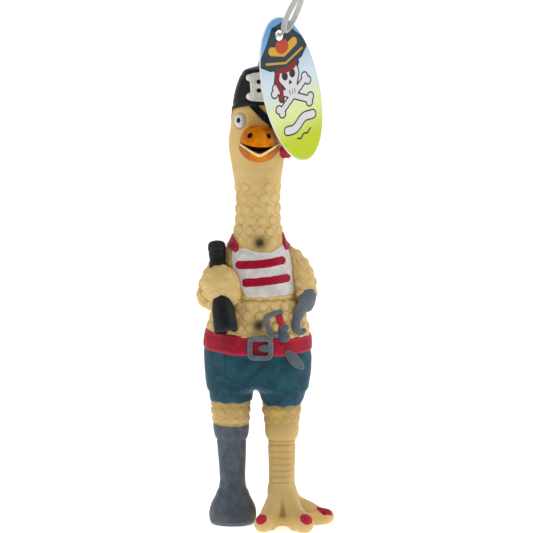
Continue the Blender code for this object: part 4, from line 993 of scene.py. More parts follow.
def build_dagger(paint, grip_paint):
    """Blade, knuckle bow, guard and pommel as rounded relief on the belly, and a red grip."""
    relief_plate("dagger_blade_moulding", BLADE, 1.0, 0.7, paint, "dagger_blade")
    bow = [(x, float(front_y(x, z)[0]) - 0.5, z, 1.25) for x, z in KNUCKLE_BOW]
    grip = [
        (x, float(front_y(x, z)[0]) - 0.5, z, 1.75) for x, z in ((10.3, 104.6), (11.0, 102.0), (11.9, 99.2))
    ]
    points, quads, fans = closed_grid(tube(bow, 60, 28, 0.9, dome=0.6))
    band = place("dagger_bow_moulding", points, [quads, fans], paint)
    for name, centre, size, lean in (
        ("dagger_guard_moulding", (12.2, 98.6), (3.1, 2.2), 12.0),
        ("dagger_pommel_moulding", (12.3, 94.4), (3.4, 2.7), -8.0),
    ):
        y = float(front_y(centre[0], centre[1])[0]) - 0.5
        points, quads, fans = egg((centre[0], y, centre[1]), (size[0], 1.7, size[1]), lean)
        place(name, points, [quads, fans], paint)
    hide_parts("dagger_hilt")
    points, quads, fans = closed_grid(tube(grip, 24, 32, 0.85, dome=0.3))
    handle = place("dagger_grip_moulding", points, [quads, fans], grip_paint)
    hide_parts("dagger_grip")


def egg(centre, size, lean=0.0, rows=40, around=48, power=0.9):
    """An ellipsoid leaned in the XZ plane: centre + size * (sin^power, cos) rings, front pole to back."""
    v = np.linspace(0.03, math.pi - 0.03, rows)
    a = np.linspace(0, 2 * math.pi, around, endpoint=False)
    c, s = math.cos(math.radians(lean)), math.sin(math.radians(lean))
    across = np.sin(v)[:, None] ** power * np.cos(a) * size[0]
    up = np.sin(v)[:, None] ** power * np.sin(a) * size[2]
    back = np.broadcast_to(-np.cos(v)[:, None], across.shape) * size[1]
    points = np.stack([centre[0] + across * c - up * s, centre[1] + back, centre[2] + across * s + up * c], -1)
    return closed_grid(points)


# ---- held things --------------------------------------------------------------------------------
def build_hook(paint):
    """The hook: a rounded cup over the wrist, and a tapering hook below it, both tubes along curves."""
    cup = [
        (24.4, -4.8, 114.8, 4.1), (24.2, -6.2, 113.4, 4.35), (23.6, -7.6, 111.0, 4.45), (22.9, -8.8, 109.0, 4.1)
    ]
    points, quads, fans = closed_grid(tube(cup, 40, 48, dome=0.75))
    top = place("hook_cup_moulding", points, [quads, fans], paint)
    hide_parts("hook_cup")
    bend = [
        (22.7, -9.0, 109.4, 3.5),
        (20.5, -10.6, 106.4, 3.0),
        (19.2, -12.0, 103.2, 2.45),
        (18.6, -13.0, 100.0, 2.15),
        (19.2, -13.4, 97.6, 2.0),
        (21.0, -12.8, 96.5, 1.65),
        (22.7, -12.2, 97.1, 1.2),
    ]
    points, quads, fans = closed_grid(tube(bend, 90, 40, dome=0.8))
    lower = place("hook_bend_moulding", points, [quads, fans], paint)
    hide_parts("hook")


def build_spyglass(paint, lens_paint):
    """The eyepiece above the fist, with its collar, and the flared barrel below, with its rim and glass."""
    top, low = np.array((-20.2, -5.8, 140.6)), np.array((-19.3, -8.4, 124.2))
    steps = ((0.0, 0.6), (0.25, 2.2), (0.8, 3.5), (1.8, 4.2), (3.4, 4.4), (4.8, 4.4), (5.2, 4.05), (5.8, 4.0))
    steps += ((6.2, 4.2), (8.8, 3.9), (9.6, 3.75), (11.0, 4.1), (12.6, 4.2), (16.0, 4.2))
    points, quads, fans = closed_grid(turned(steps, top, low - top, 72, 0.35))
    eyepiece = place("spyglass_eyepiece_moulding", points, [quads, fans], paint)
    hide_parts("spyglass_eyepiece")
    top, low = np.array((-17.9, -14.4, 114.9)), np.array((-15.3, -19.4, 97.2))
    length = math.sqrt(((low - top) ** 2).sum())
    steps = ((-1.4, 2.0), (-0.6, 3.0), (0.8, 3.7), (3.0, 4.5), (6.0, 5.15), (10.0, 5.5), (14.0, 5.7))
    steps += ((length - 1.6, 5.75), (length - 0.7, 5.9))
    steps += ((length, 5.7), (length + 0.1, 5.2), (length - 0.3, 4.7), (length - 0.9, 4.3), (length - 1.0, 3.8))
    points, quads, fans = closed_grid(turned(steps, top, low - top, 80, 0.35))
    barrel = place("spyglass_barrel_moulding", points, [quads, fans], paint)
    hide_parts("spyglass_barrel")
    steps = ((-0.4, 3.9), (0.0, 3.9), (0.3, 3.3), (0.5, 2.0), (0.55, 0.3))
    points, quads, fans = closed_grid(turned(steps, low - (low - top) / length * 0.9, low - top, 64, 0.3))
    glass = place("spyglass_glass_moulding", points, [quads, fans], lens_paint)
    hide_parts("spyglass_lens")


# ---- legs ----------------------------------------------------------------------------------------
PEG_LEG = np.array(
    [
        (0.0, 10.0),
        (0.25, 10.5),
        (1.0, 11.05),
        (2.6, 11.5),
        (4.8, 11.65),
        (7.4, 11.35),
        (9.6, 10.7),
        (11.6, 9.8),
        (13.8, 8.6),
        (16.0, 7.75),
        (17.6, 7.05),
        (18.4, 6.75),
        (20.0, 6.47),
        (28.0, 6.52),
        (36.0, 7.02),
        (41.0, 7.27),
        (42.0, 7.3),
        (42.8, 7.8),
        (44.0, 8.0),
        (47.0, 8.45),
        (50.0, 8.65),
        (56.0, 9.3),
        (60.6, 9.6),
        (62.4, 9.6),
        (66.0, 9.2),
    ]
)
CLAW_LEG = np.array(
    [
        (10.0, 7.4),
        (15.0, 6.8),
        (19.0, 6.5),
        (24.0, 6.4),
        (30.0, 6.5),
        (38.0, 6.8),
        (41.0, 6.75),
        (42.0, 7.1),
        (43.2, 7.7),
        (47.0, 8.4),
        (51.0, 8.3),
        (57.0, 9.4),
        (60.0, 9.35),
        (62.0, 9.35),
        (66.0, 9.0),
    ]
)


def leg_grid(table, x, heights, columns=300):
    """Rings of the table's radius at each height."""
    a = np.linspace(0, 2 * math.pi, columns, endpoint=False)
    r = hermite(np.column_stack([table, np.zeros(len(table))]), heights)[:, 0]
    return np.stack(
        [
            x + r[:, None] * np.cos(a),
            r[:, None] * np.sin(a),
            np.broadcast_to(heights[:, None], (len(heights), columns)),
        ],
        -1,
    )


def thigh_rise(p, x, low, table):
    """Ring bumps between the hem and low."""
    padded = np.column_stack([table, np.zeros(len(table))])
    here = smooth_step(p[:, 2], low, low + 1.2) * (1 - smooth_step(p[:, 2], 59.6, 61.2))
    radius = lambda z: (hermite(padded, np.asarray(z, float))[:, 0],) * 2
    return 0.7 * here * ring_bumps(p, (x, 0.0), radius, 5.3, 4.7, 0.92, x)


def groove(value, middle, width):
    """1 at the middle, falling off as exp(-((value - middle) / width)^2)."""
    return np.exp(-(((value - middle) / width) ** 2))


def radial(p, x):
    """Unit vectors level outwards from the upright line at x."""
    out = p - [x, 0.0, 0.0]
    out[:, 2] = 0
    return out / np.maximum(np.sqrt((out**2).sum(1, keepdims=True)), 1e-9)


CUFF_Z, CUFF_RAISED = 49.6, 0.35


def build_peg_leg():
    """Right thigh and peg boot: a turned grid with a painted cuff, a ridge under it, a creased ankle."""
    heights = np.concatenate([[0.0, 0.0, 0.0, 0.12, 0.3], np.arange(0.6, 66.0, 0.42)])
    points = leg_grid(PEG_LEG, RIGHT_LEG_X, heights)
    middle = np.array([RIGHT_LEG_X, 0, 0])
    for ring, share in ((0, 0.05), (1, 0.6)):
        points[ring] = middle + (points[ring] - middle) * share
    flat, quads, fans = closed_grid(points)
    above = smooth_step(flat[:, 2], 0.3, 2.0)
    cuff = CUFF_Z + 0.35 * np.sin(np.arctan2(flat[:, 1], flat[:, 0] - RIGHT_LEG_X) * 2 + 1.0)
    rise = thigh_rise(flat, RIGHT_LEG_X, 50.4, PEG_LEG)
    rise += CUFF_RAISED * smooth_step(cuff - flat[:, 2], -0.3, 0.3) * smooth_step(flat[:, 2], 42.0, 45.0)
    rise -= 0.07 * groove(flat[:, 2], 17.9, 0.5) - 0.1 * waver(flat, 10.0, 6.0)
    rise -= 0.1 * groove(flat[:, 2], 42.2, 0.55)
    flat = flat + radial(flat, RIGHT_LEG_X) * (rise * above)[:, None]
    flat[:, 0] -= 0.9 * smooth_step(flat[:, 2], 15.0, 62.0)
    # Painted shade on the thigh under the shorts' hem.
    painted_shade = 0.75 * smooth_step(flat[:, 2], 46.0, 60.0)
    values = {"boot": cuff - flat[:, 2], "painted_shade": painted_shade}
    material = leg_material("peg_leg_latex", "boot", (72, 80, 89), (92, 100, 109))
    piece = place("thigh_and_peg_boot", flat, [quads, fans], material, values, body=None)
    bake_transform(piece)
    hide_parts("right_thigh_skin", "peg_boot")


TOES = [  # angle seen from above, from +X towards the front; reach; radius at the tip; arch
    (111.5, 24.8, 4.6, 1.0),
    (66.0, 26.0, 5.0, 1.0),
    (9.0, 22.4, 3.9, 0.6),
]


NAILS = [  # distance back from the tip's middle, height, half length, half width, shift to the front
    (-3.0, 7.0, 3.1, 2.9, 0.0),
    (-3.2, 7.2, 3.3, 3.3, 0.0),
    (1.0, 6.6, 4.3, 1.9, 2.1),
]
NAIL_RAISED = 0.35
WEB = (8.0, 112.0)  # the angles that it spans
ARCH_TURN = 89.0
ARCH = ((11.0, -2.6, 3.4), (18.0, -0.6, 3.9), (30.0, 0.2, 4.4))  # reach, height, radius
ANKLE_R = 6.45
SCALES, SCALE_TOP, SCALE_GAP = 7, 39.6, 3.15  # grooves across the shin
CREASES = ((41.6, 0.6, 0.25), (17.9, 0.6, 0.2))  # height, width and depth, round the shin


def toe_rows(angle, reach, tip, arch, x=LEFT_LEG_X):
    """A toe's middle line out along angle: z = r + (z - r) * arch, so that arch lifts its underside."""
    a = math.radians(angle)
    rows = ((0.0, 16.5, 5.6), (0.25, 11.8, 5.5), (0.55, 7.4, 5.1), (0.8, 5.0, tip + 0.1), (1.0, 4.0, tip - 0.2))
    rows = [(t, z if t == 0 else r + (z - r) * arch, r) for t, z, r in rows]
    return [(x + t * reach * math.cos(a), -t * reach * math.sin(a), z, r) for t, z, r in rows]


def foot_field(p):
    """Ankle, three toes and a spur filleted together, cut flat at the ground.

    The web between the toes is as long as between says at each angle and its top is at 9.4 - 0.2 * reach. Its
    sides are planes through the ankle, reach * sin(angle past the outermost toe). An arch is carved between the
    front toes.
    """
    ankle = np.maximum(np.hypot(p[:, 0] - LEFT_LEG_X, p[:, 1]) - ANKLE_R, 12.0 - p[:, 2])
    foot = ankle
    for toe in TOES:
        foot = blended(foot, limb_field(p, toe_rows(*toe), 12), 2.4)
    spur = [(LEFT_LEG_X, 0.0, 13.0, 5.0), (LEFT_LEG_X - 3.5, 6.5, 6.0, 4.4), (LEFT_LEG_X - 4.6, 9.4, 4.2, 3.8)]
    foot = blended(foot, limb_field(p, spur, 8), 2.4)
    turn = np.degrees(np.arctan2(-p[:, 1], p[:, 0] - LEFT_LEG_X))
    reach = np.hypot(p[:, 0] - LEFT_LEG_X, p[:, 1])
    between = np.interp(turn, [8, 36, 66, 88, 112], [21.0, 15.0, 22.0, 18.5, 21.0])
    web = np.maximum(reach - between, p[:, 2] - 9.4 + 0.2 * reach)
    sides = np.maximum(np.sin(np.radians(WEB[0] - turn)), np.sin(np.radians(turn - WEB[1])))
    web = np.maximum(web, reach * sides)
    foot = blended(foot, web, 3.0)
    a = math.radians(ARCH_TURN)
    arch = [(LEFT_LEG_X + t * math.cos(a), -t * math.sin(a), z, r) for t, z, r in ARCH]
    foot = carved(foot, limb_field(p, arch, 8), 1.6)
    return np.maximum(np.maximum(foot, 0.02 - p[:, 2]), p[:, 2] - 20.6)


def build_claw_leg():
    """Left thigh and scaly shin as a turned grid, with a stained bump near the hem."""
    heights = np.arange(17.4, 66.0, 0.4)
    flat, quads, fans = closed_grid(leg_grid(CLAW_LEG, LEFT_LEG_X, heights))
    rise = thigh_rise(flat, LEFT_LEG_X, 49.6, CLAW_LEG)
    turn = np.arctan2(flat[:, 0] - LEFT_LEG_X, -flat[:, 1])
    in_front = np.exp(-((turn / 1.35) ** 4))
    for k in range(SCALES):
        z = SCALE_TOP - SCALE_GAP * k + 0.25 * np.cos(turn * 1.5 + k)
        rise -= 0.2 * in_front * groove(flat[:, 2], z, 0.5)
        rise += 0.1 * in_front * groove(flat[:, 2], z + 1.4, 0.9)
    for z, width, depth in CREASES:
        rise -= depth * groove(flat[:, 2], z, width)
    rise += 0.07 * waver(flat, 8.0, 3.0)
    fade = smooth_step(flat[:, 2], 17.4, 18.6)
    flat = flat + radial(flat, LEFT_LEG_X) * (rise * fade)[:, None]
    stain = soft_spot(flat, (LEFT_LEG_X - 2.5, 55.5), 2.6)
    # Painted shade on the thigh under the shorts' hem and down the front of the shin.
    painted_shade = 0.75 * smooth_step(flat[:, 2], 40.0, 60.0) + 0.3 * in_front * smooth_step(flat[:, 2], 18.0, 26.0)
    values = {"stain": stain, "nail": np.full(len(flat), -5.0), "painted_shade": painted_shade}
    piece = place("thigh_and_shin", flat, [quads, fans], shin_material(), values, body=None)
    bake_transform(piece)
    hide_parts("left_thigh_skin")


def shin_material():
    """One material for the shin and the foot."""
    found = bpy.data.materials.get("claw_leg_latex")
    return found or leg_material("claw_leg_latex", "nail", (158, 18, 44), (186, 30, 56))


def build_foot():
    """The three-toed foot. A nail is the part of the skin within an oval on each toe, raised by NAIL_RAISED."""
    points, quads = mesh_of_field(foot_field, (-2.0, -33.0, -1.0), (40.0, 15.5, 22.0), FOOT_CELL)
    quads = outward(points, quads)
    nail = nail_areas(points)
    rise = (
        NAIL_RAISED * smooth_step(nail, -0.3, 0.3)
        + 0.06 * waver(points, 6.0, 8.0) * smooth_step(points[:, 2], 0.5, 2.0)
    )
    points = points + normals_of(points, quads) * rise[:, None]
    values = {"nail": nail_areas(points)}
    piece = place("claw_foot", points, [quads], shin_material(), values, body="left_leg")
    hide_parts("bird_foot", "toenail_1", "toenail_2", "toenail_3")


def nail_areas(p):
    """Positive inside the nails: an oval on the front of each tip, longer and lying on top of the outer toe."""
    best = np.full(len(p), -9.0)
    for (angle, reach, *_), (back, height, long, wide, front) in zip(TOES, NAILS):
        a = math.radians(angle)
        along = (p[:, 0] - LEFT_LEG_X) * math.cos(a) - p[:, 1] * math.sin(a) - (reach - back)
        across = -(p[:, 0] - LEFT_LEG_X) * math.sin(a) - p[:, 1] * math.cos(a) - front
        k = np.sqrt((along / long) ** 2 + (across / wide) ** 2 + ((p[:, 2] - height) / long) ** 2)
        best = np.maximum(best, (1 - k) * wide)
    return best + 0.1 * waver(p, 3.0, 2.0)


# ---- head ----------------------------------------------------------------------------------------
EMBLEM_AT = (2.3, 215.1)
EMBLEM = [
    (-5.3, 3.6), (-4.6, 5.6), (-1.4, 6.2), (3.0, 6.0), (5.6, 3.4), (5.0, -1.0), (5.2, -6.0), (0.0, -6.6),
    (-5.0, -6.2), (-5.0, -1.0),
]
EYE_AT = (-8.3, 198.8)
EYE_TURN = -33.0  # degrees round Z, so that it faces out to the side
PATCH_STRAP = [
    (-4.8, 207.0), (-1.0, 207.0), (2.8, 203.2), (5.2, 200.8), (9.9, 198.6), (10.1, 193.8), (2.2, 199.4)
]


CAP_RAISED, EMBLEM_RAISED, SOCKET_SUNK, PATCH_RAISED, SCARF_RAISED = 0.55, 0.85, 0.7, 0.6, 0.4
PATCH = (9.4, 198.2, 4.6, 5.0, 12.0)  # middle, half sizes, lean
# Round bites in the emblem.
NOTCHES = ((-6.0, 4.2, 1.5), (-5.8, -4.6, 1.75), (6.6, 4.2, 1.5), (6.4, -4.6, 1.75))
EYE_HALF = (3.0, 2.8, 3.6)
LID_HALF = (2.7, 3.5)


def cap_rim(p):
    """The cap's lower edge, higher in front than behind."""
    return 203.2 - 0.24 * np.minimum(p[:, 1], 0.0) - 0.05 * np.maximum(p[:, 1], 0.0) + 0.15 * waver(p, 9.0, 3.0)


def head_values(p):
    """Painted areas of the head, positive inside, in mm, and the airbrushed flush round the bill."""
    x, z = p[:, 0], p[:, 2]
    front = p[:, 1] < 0
    cap = z - cap_rim(p)
    strap = np.where(front, -outline_distance(x, z, PATCH_STRAP, 0.3), -9.0)
    patch = np.where(front, -oval_distance(x, z, *PATCH), -9.0)
    cx, cz = EMBLEM_AT
    plate = -outline_distance(x, z, [(cx + u, cz + v) for u, v in EMBLEM], 0.6)
    for u, v, r in NOTCHES:
        plate = -blended(-plate, np.hypot(x - cx - u, z - cz - v) - r, 0.7)
    emblem = np.where(front, plate, -9.0)
    sockets = [-oval_distance(x, z, cx - 1.7, cz + s, 1.0, 1.05) for s in (2.1, -1.8)]
    socket = np.where(front, np.maximum(*sockets), -9.0)
    hem = 198.4 + 11.0 * smooth_step(-p[:, 1], -3.0, 9.0) + 0.2 * waver(p, 5.0, 9.0)
    scarf = np.minimum(z - hem, cap_rim(p) - z)
    flush = soft_spot(p, (1.0, 201.0), 6.0) + soft_spot(p, (-3.0, 196.0), 3.0)
    return {
        "cap": np.maximum(np.maximum(cap, strap), patch),
        "cap_only": cap,
        "patch": np.maximum(strap, patch),
        "emblem": emblem,
        "socket": socket,
        "scarf": scarf,
        "flush": flush,
    }


def head_rise(p, values):
    """Outward steps in mm: cap and band, emblem and sockets, strap, patch, scarf, eyelid and cheeks."""
    x, z = p[:, 0], p[:, 2]
    rise = CAP_RAISED * smooth_step(values["cap_only"], -0.25, 0.25)
    band = values["cap_only"]
    rise += 0.3 * groove(band, 1.3, 1.0) - 0.25 * groove(band, 3.2, 0.35)
    rise += EMBLEM_RAISED * smooth_step(values["emblem"], -0.35, 0.5)
    rise -= SOCKET_SUNK * smooth_step(values["socket"], -0.2, 0.4)
    rise += PATCH_RAISED * smooth_step(values["patch"], -0.25, 0.25)
    rise += SCARF_RAISED * smooth_step(values["scarf"], -0.25, 0.25)
    rise += 0.35 * np.clip(values["emblem"], 0, 1.5)
    lid = oval_distance(x, z, *EYE_AT, *LID_HALF)
    fold = 0.22 * groove(lid, 1.2, 0.9) - 0.3 * groove(lid, 0.1, 0.3)
    rise += np.where(p[:, 1] < 0, fold, 0.0)
    cheek = soft_spot(p, (-10.5, 187.0), 4.5) + soft_spot(p, (12.0, 187.0), 4.5)
    return rise + 0.5 * cheek + 0.06 * waver(p, 8.0, 4.0)


def build_head():
    """The head and cap: ovals whose spacing follows the profile's length, from inside the neck to the crown."""
    z = np.linspace(171.6, TRUNK[-1, 0], 4000)
    half = hermite(TRUNK, z)[:, 2]
    length = np.concatenate([[0], np.cumsum(np.hypot(np.diff(z), np.diff(half)))])
    heights = np.interp(np.arange(0, length[-1], 0.3), length, z)
    angle = np.linspace(-math.pi, math.pi, 300, endpoint=False)
    turn, z = np.meshgrid(angle, heights)
    points, quads, fans = closed_grid(on_trunk(turn, z, np.zeros(turn.shape)))
    values = head_values(points)
    normals = normals_of(points, outward(points, quads))
    rise = head_rise(points, values) * smooth_step(points[:, 2], 172.0, 174.5)
    points = points + normals * rise[:, None]
    piece = place("head_and_cap", points, [quads, fans], head_material(), values, "head")
    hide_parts("head_skin", "pirate_cap", "cap_emblem", "eye_patch", "scarf_band")


BILL_AT, BILL_HALF, BILL_SQUARE = (0.5, -8.5, 186.9), (9.3, 16.8, 10.3), 2.6
BOWL = ((0.6, -8.6, 187.0), (9.9, 16.4, 8.4))  # middle and half sizes, as in the three below
ROOF = ((0.6, -8.0, 185.6), (7.9, 15.2, 3.6))
THROAT = ((0.7, -8.0, 188.4), (8.2, 14.8, 7.0))
MOUTH = ((0.7, -12.4, 187.4), (8.2, 3.6, 3.4))
NOSTRIL_X, NOSTRIL_YZ, NOSTRIL_HALF = (-3.8, 5.6), (-21.6, 192.3), (1.2, 1.7, 1.35)
RIDGE_X, RIDGE_WIDE, RIDGE_RAISED = (-3.4, 2.6), 0.7, 0.16  # low ridges along the upper bill


def upper_bill_field(p):
    """A squarish dome, |x|^2.6 + |z|^2.6 across, cut off by a bowed edge and hollowed underneath."""
    q = np.abs((p - BILL_AT) / BILL_HALF)
    k = (q[:, 0] ** BILL_SQUARE + q[:, 2] ** BILL_SQUARE) ** (2 / BILL_SQUARE) + q[:, 1] ** 2
    dome = (np.sqrt(k) - 1) * 9.0
    ridges = sum(groove(p[:, 0], x, RIDGE_WIDE) for x in RIDGE_X)
    edge = 186.7 + 0.017 * (p[:, 0] - 0.8) ** 2 - 0.05 * p[:, 0] - p[:, 2]
    shell = carved(np.maximum(dome - RIDGE_RAISED * ridges, edge), nostril_field(p), 0.4)
    return carved(shell, roof_field(p), 0.5)


def nostril_field(p):
    """Two small ellipsoids, the nearer one."""
    return np.minimum(*(ball_field(p, (x, *NOSTRIL_YZ), NOSTRIL_HALF) for x in NOSTRIL_X))


def roof_field(p):
    """The hollow under the upper bill."""
    return ball_field(p, *ROOF)


def rim_height(p):
    """The lower bill's edge: a V, 5 mm lower in the middle than at the mouth's corners."""
    return 182.6 + 0.6 * np.sqrt((p[:, 0] - 0.8) ** 2 + 1.5)


def throat_field(p):
    """The hollow of the lower bill."""
    return ball_field(p, *THROAT)


def lower_bill_field(p):
    """A bowl cut off along its rim and hollowed, leaving a wall of about 1.6 mm."""
    bowl = ball_field(p, *BOWL)
    return carved(np.maximum(bowl, p[:, 2] - rim_height(p)), throat_field(p), 0.9)


def build_bill(material):
    """Upper and lower bill, their openings carved from the same fields that colour them."""
    for name, field, low, node in (
        ("upper_bill_moulding", upper_bill_field, 185.0, "beak_upper"),
        ("lower_bill_moulding", lower_bill_field, 177.0, "beak_lower"),
    ):
        points, quads = mesh_of_field(field, (-11.0, -26.6, low), (12.4, -5.0, low + 14.0), BILL_CELL)
        x, _, z = points.T
        upper = node == "beak_upper"
        none = np.full(len(points), -5.0)
        mouth = 0.25 - (roof_field(points) if upper else throat_field(points))
        lip = none if upper else np.minimum(1.6 - 0.06 * np.abs(x - 0.8) - (rim_height(points) - z), 5.0)
        nostril = 0.3 - nostril_field(points) if upper else none
        # Painted shadow: strong on the right side, light on the left, and more on the lower bill.
        shadow = smooth_step(x, 2.5, 9.5) * 0.9 + 0.35 * smooth_step(-x, 3.2, 3.8) + (0.0 if upper else 0.35)
        points = points + normals_of(points, quads) * (0.05 * waver(points, 5.0, 3.0))[:, None]
        values = {"mouth": mouth, "lip": lip, "nostril": nostril, "shadow": shadow}
        piece = place(name, points, [quads], material, values, "head")
        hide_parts(node)


def build_mouth(paint):
    """The dark back of the mouth: a shallow dish behind the open bill."""
    points, quads, fans = egg(*MOUTH, 0.0, 30, 56, 0.8)
    piece = place("mouth_lining_moulding", points, [quads, fans], paint, None, "head")
    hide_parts("mouth_lining")


def build_eye():
    """A white oval dome, rings about its own middle, with a painted oval pupil that looks to the side."""
    x, z = EYE_AT
    centre = np.array([x, float(front_y(x, z)[0]) + 0.5, z])
    local, quads, fans = egg((0.0, 0.0, 0.0), EYE_HALF, 0.0, 60, 72, 1.0)
    pupil = np.where(local[:, 1] < 0, -oval_distance(local[:, 0], local[:, 2], 0.35, 0.3, 1.1, 1.3), -3.0)
    rim = np.hypot(local[:, 0] / 2.85, local[:, 2] / 3.55)
    points = centre + local @ spin("Z", EYE_TURN).T
    piece = place("eye_moulding", points, [quads, fans], eye_material(), {"pupil": pupil, "rim": rim}, "head")
    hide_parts("eye_white", "eye_pupil")


def build_scarf_tail(paint):
    """The knotted end of the scarf: a flattened, folded tube from the knot down beside the bill."""
    rows = [
        (13.0, 6.6, 200.6, 2.6),
        (13.6, 4.4, 196.0, 2.5),
        (13.4, 0.6, 190.6, 3.3),
        (12.9, -3.6, 186.4, 4.6),
        (12.7, -6.0, 184.0, 4.4),
    ]
    grid = tube(rows, 80, 60, 0.75, (0.6, -0.8, 0.0), dome=0.7)
    points, quads, fans = closed_grid(grid)
    around = with_fans(np.broadcast_to(np.linspace(0, 2 * math.pi, 60, endpoint=False), grid.shape[:2]))
    fold = 0.22 * np.sin(around * 5 + points[:, 2] * 0.5) + 0.1 * waver(points, 3.0, 5.0)
    points = points + normals_of(points, quads) * fold[:, None]
    piece = place("scarf_tail_moulding", points, [quads, fans], paint, None, "head")
    knot, quads, fans = egg((13.2, 6.8, 200.4), (3.2, 3.2, 2.7), 20.0)
    knot = knot + (0.2 * np.sin(knot[:, 2] * 3.4 + knot[:, 0]))[:, None] * radial(knot, 13.2)
    place("scarf_knot_moulding", knot, [quads, fans], paint, None, "head")
    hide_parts("scarf_tail")


# ---- squeaker ------------------------------------------------------------------------------------
def build_squeaker():
    """The squeaker's flange: turned rings with a rolled edge, a recessed face and a vent."""
    rear, z = squeaker_seat()
    steps = (
        (-8.0, 0.2), (-8.0, 1.5), (-1.2, 1.5), (-0.7, 1.7), (-0.6, 2.6), (-0.7, 3.1), (-0.7, 4.6), (-0.3, 5.0)
    )
    steps += (
        (-0.05, 5.6), (-0.05, 6.2), (-0.3, 6.8), (-0.8, 7.0), (-1.2, 6.9), (-1.2, 4.9), (-10.0, 4.9),
        (-10.0, 0.2),
    )
    points, quads, fans = closed_grid(turned(steps, (0.0, rear, z), (0, 1, 0), 96, 0.3))
    plastic = plain_paint("squeaker_polyethylene", (206, 202, 190), (226, 222, 212), 0.35, 0.1, 0.2)
    piece = place("squeaker_flange", points, [quads, fans], plastic)
    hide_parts("squeaker_body")


# ---- tag and loop --------------------------------------------------------------------------------
TAG_CENTRE = (16.2, -14.0, 214.2)
TAG_TURN, TAG_LEAN = 41.4, 17.5
TAG_HALF = (18.2, 36.0)  # half width and half height
TAG_HOLE_UP, TAG_HOLE_R = 27.0, 2.6
LOOP_TURN, LOOP_LEAN = 70.0, 25.0
LOOP_LONG, LOOP_WIDE = 10.0, 5.0  # half sizes of the eye's middle line
LOOP_BAND = (1.4, 0.58)  # half width and half thickness
TAIL_R = 0.68
CARD_HALF = 0.24  # half the card's thickness
CROWN = (HEAD_X, 0.0, HEIGHT)


def spin(axis, degrees):
    """The matrix of a right-handed turn about X, Y or Z."""
    c, s = math.cos(math.radians(degrees)), math.sin(math.radians(degrees))
    i, j = {"X": (1, 2), "Y": (2, 0), "Z": (0, 1)}[axis]
    made = np.eye(3)
    made[i, i] = made[j, j] = c
    made[i, j], made[j, i] = -s, s
    return made


TAG_AXES = spin("Z", TAG_TURN) @ spin("X", 90.0) @ spin("Z", TAG_LEAN)
TAG_HOLE = np.array(TAG_CENTRE) + TAG_AXES @ np.array([0.0, TAG_HOLE_UP, 0.0])


def tag_grid(columns=360, rings=110):
    """The card between its hole and its edge: share s from one to the other, every ring sliding and growing."""
    a = np.linspace(0, 2 * math.pi, columns, endpoint=False)
    hole = np.stack([TAG_HOLE_R * np.cos(a), TAG_HOLE_UP + TAG_HOLE_R * np.sin(a)], 1)
    edge = np.stack([TAG_HALF[0] * np.cos(a), TAG_HALF[1] * np.sin(a)], 1)
    s = np.linspace(0, 1, rings)[:, None, None]
    return hole + (edge - hole) * s**0.85


def tag_art(u, v):
    """The printed design as distances, positive inside: hat, band, medal, scarf, skull, bones, ink."""
    hat = -outline_distance(
        u, v, [(-15, 17), (-8, 24), (-3, 30), (4, 31), (9, 25), (15, 19), (10, 14.6), (0, 12.2), (-10, 13.6)],
        1.0,
    )
    trim = np.minimum(-line_distance(u, v, [(-12, 16.2), (0, 13.2), (12, 17.0)], 0.55), hat)
    band = np.minimum(-line_distance(u, v, [(-7, 21.0), (0, 18.6), (8, 21.6)], 2.1), hat)
    s, up = 0.76, 4.2
    a, b = u / s, (v - up) / s
    jaw = outline_distance(a, b, [(-4.4, -2), (4.4, -2), (3.4, -9.0), (-3.4, -9.0)], 0.8)
    skull = -blended(oval_distance(a, b, 0, 4.6, 8.6, 8.0), jaw, 2.0)
    bones = -9.0
    for side in (-1, 1):
        shaft = [(side * -12.6, -2.6), (side * 12.6, -16.4)]
        bones = np.maximum(bones, -line_distance(a, b, shaft, 1.7))
        for end, lift in ((shaft[0], 1), (shaft[1], -1)):
            for du, dv in ((0.6, 1.7), (-1.3, -1.5)):
                knob = oval_distance(a, b, end[0] - side * lift * 0.8 + du * side, end[1] + dv, 2.3, 2.2)
                bones = np.maximum(bones, -knob)
    ribbon = -line_distance(
        u, v, [(t, -17.0 + 0.24 * t + 0.9 * math.sin(t / 2.2)) for t in np.arange(-8.5, 9.6, 0.75)], 1.8
    )
    sockets = -np.minimum(
        oval_distance(a, b, -3.3, 4.2, 2.5, 2.9, 12.0), oval_distance(a, b, 3.3, 4.2, 2.5, 2.9, -12.0)
    )
    nose = -outline_distance(a, b, [(0, 0.8), (-1.3, -1.6), (1.3, -1.6)], 0.25)
    gaps = 0.28 - np.abs(((a + 1.1) % 2.2) - 1.1)
    teeth = np.minimum(gaps, -outline_distance(a, b, [(-3.6, -5.2), (3.6, -5.2), (3.2, -8.8), (-3.2, -8.8)]))
    waves = -line_distance(
        u, v, [(t, -23.6 + 0.24 * t + 0.5 * math.sin(t * 1.3)) for t in np.arange(-3.4, 6.6, 0.5)], 0.42
    )
    scarf = -np.minimum(
        line_distance(u, v, [(-5.6, 11.5), (-8.2, 6.0), (-6.6, 1.0), (-7.6, -2.5)], 1.3),
        oval_distance(u, v, 0, 11.6, 6.9, 3.0),
    )
    white = np.maximum(np.maximum(skull, bones) * s, ribbon)
    return {
        "outline": np.maximum(white, np.maximum(scarf, hat)) + 0.7,
        "skull": white,
        "ink": np.maximum(np.maximum(np.maximum(sockets, nose), teeth) * s, waves),
        "scarf": scarf,
        "hat": hat,
        "trim": trim,
        "band": band,
        "medal": -oval_distance(u, v, 0, 21.6, 4.2, 3.6),
    }


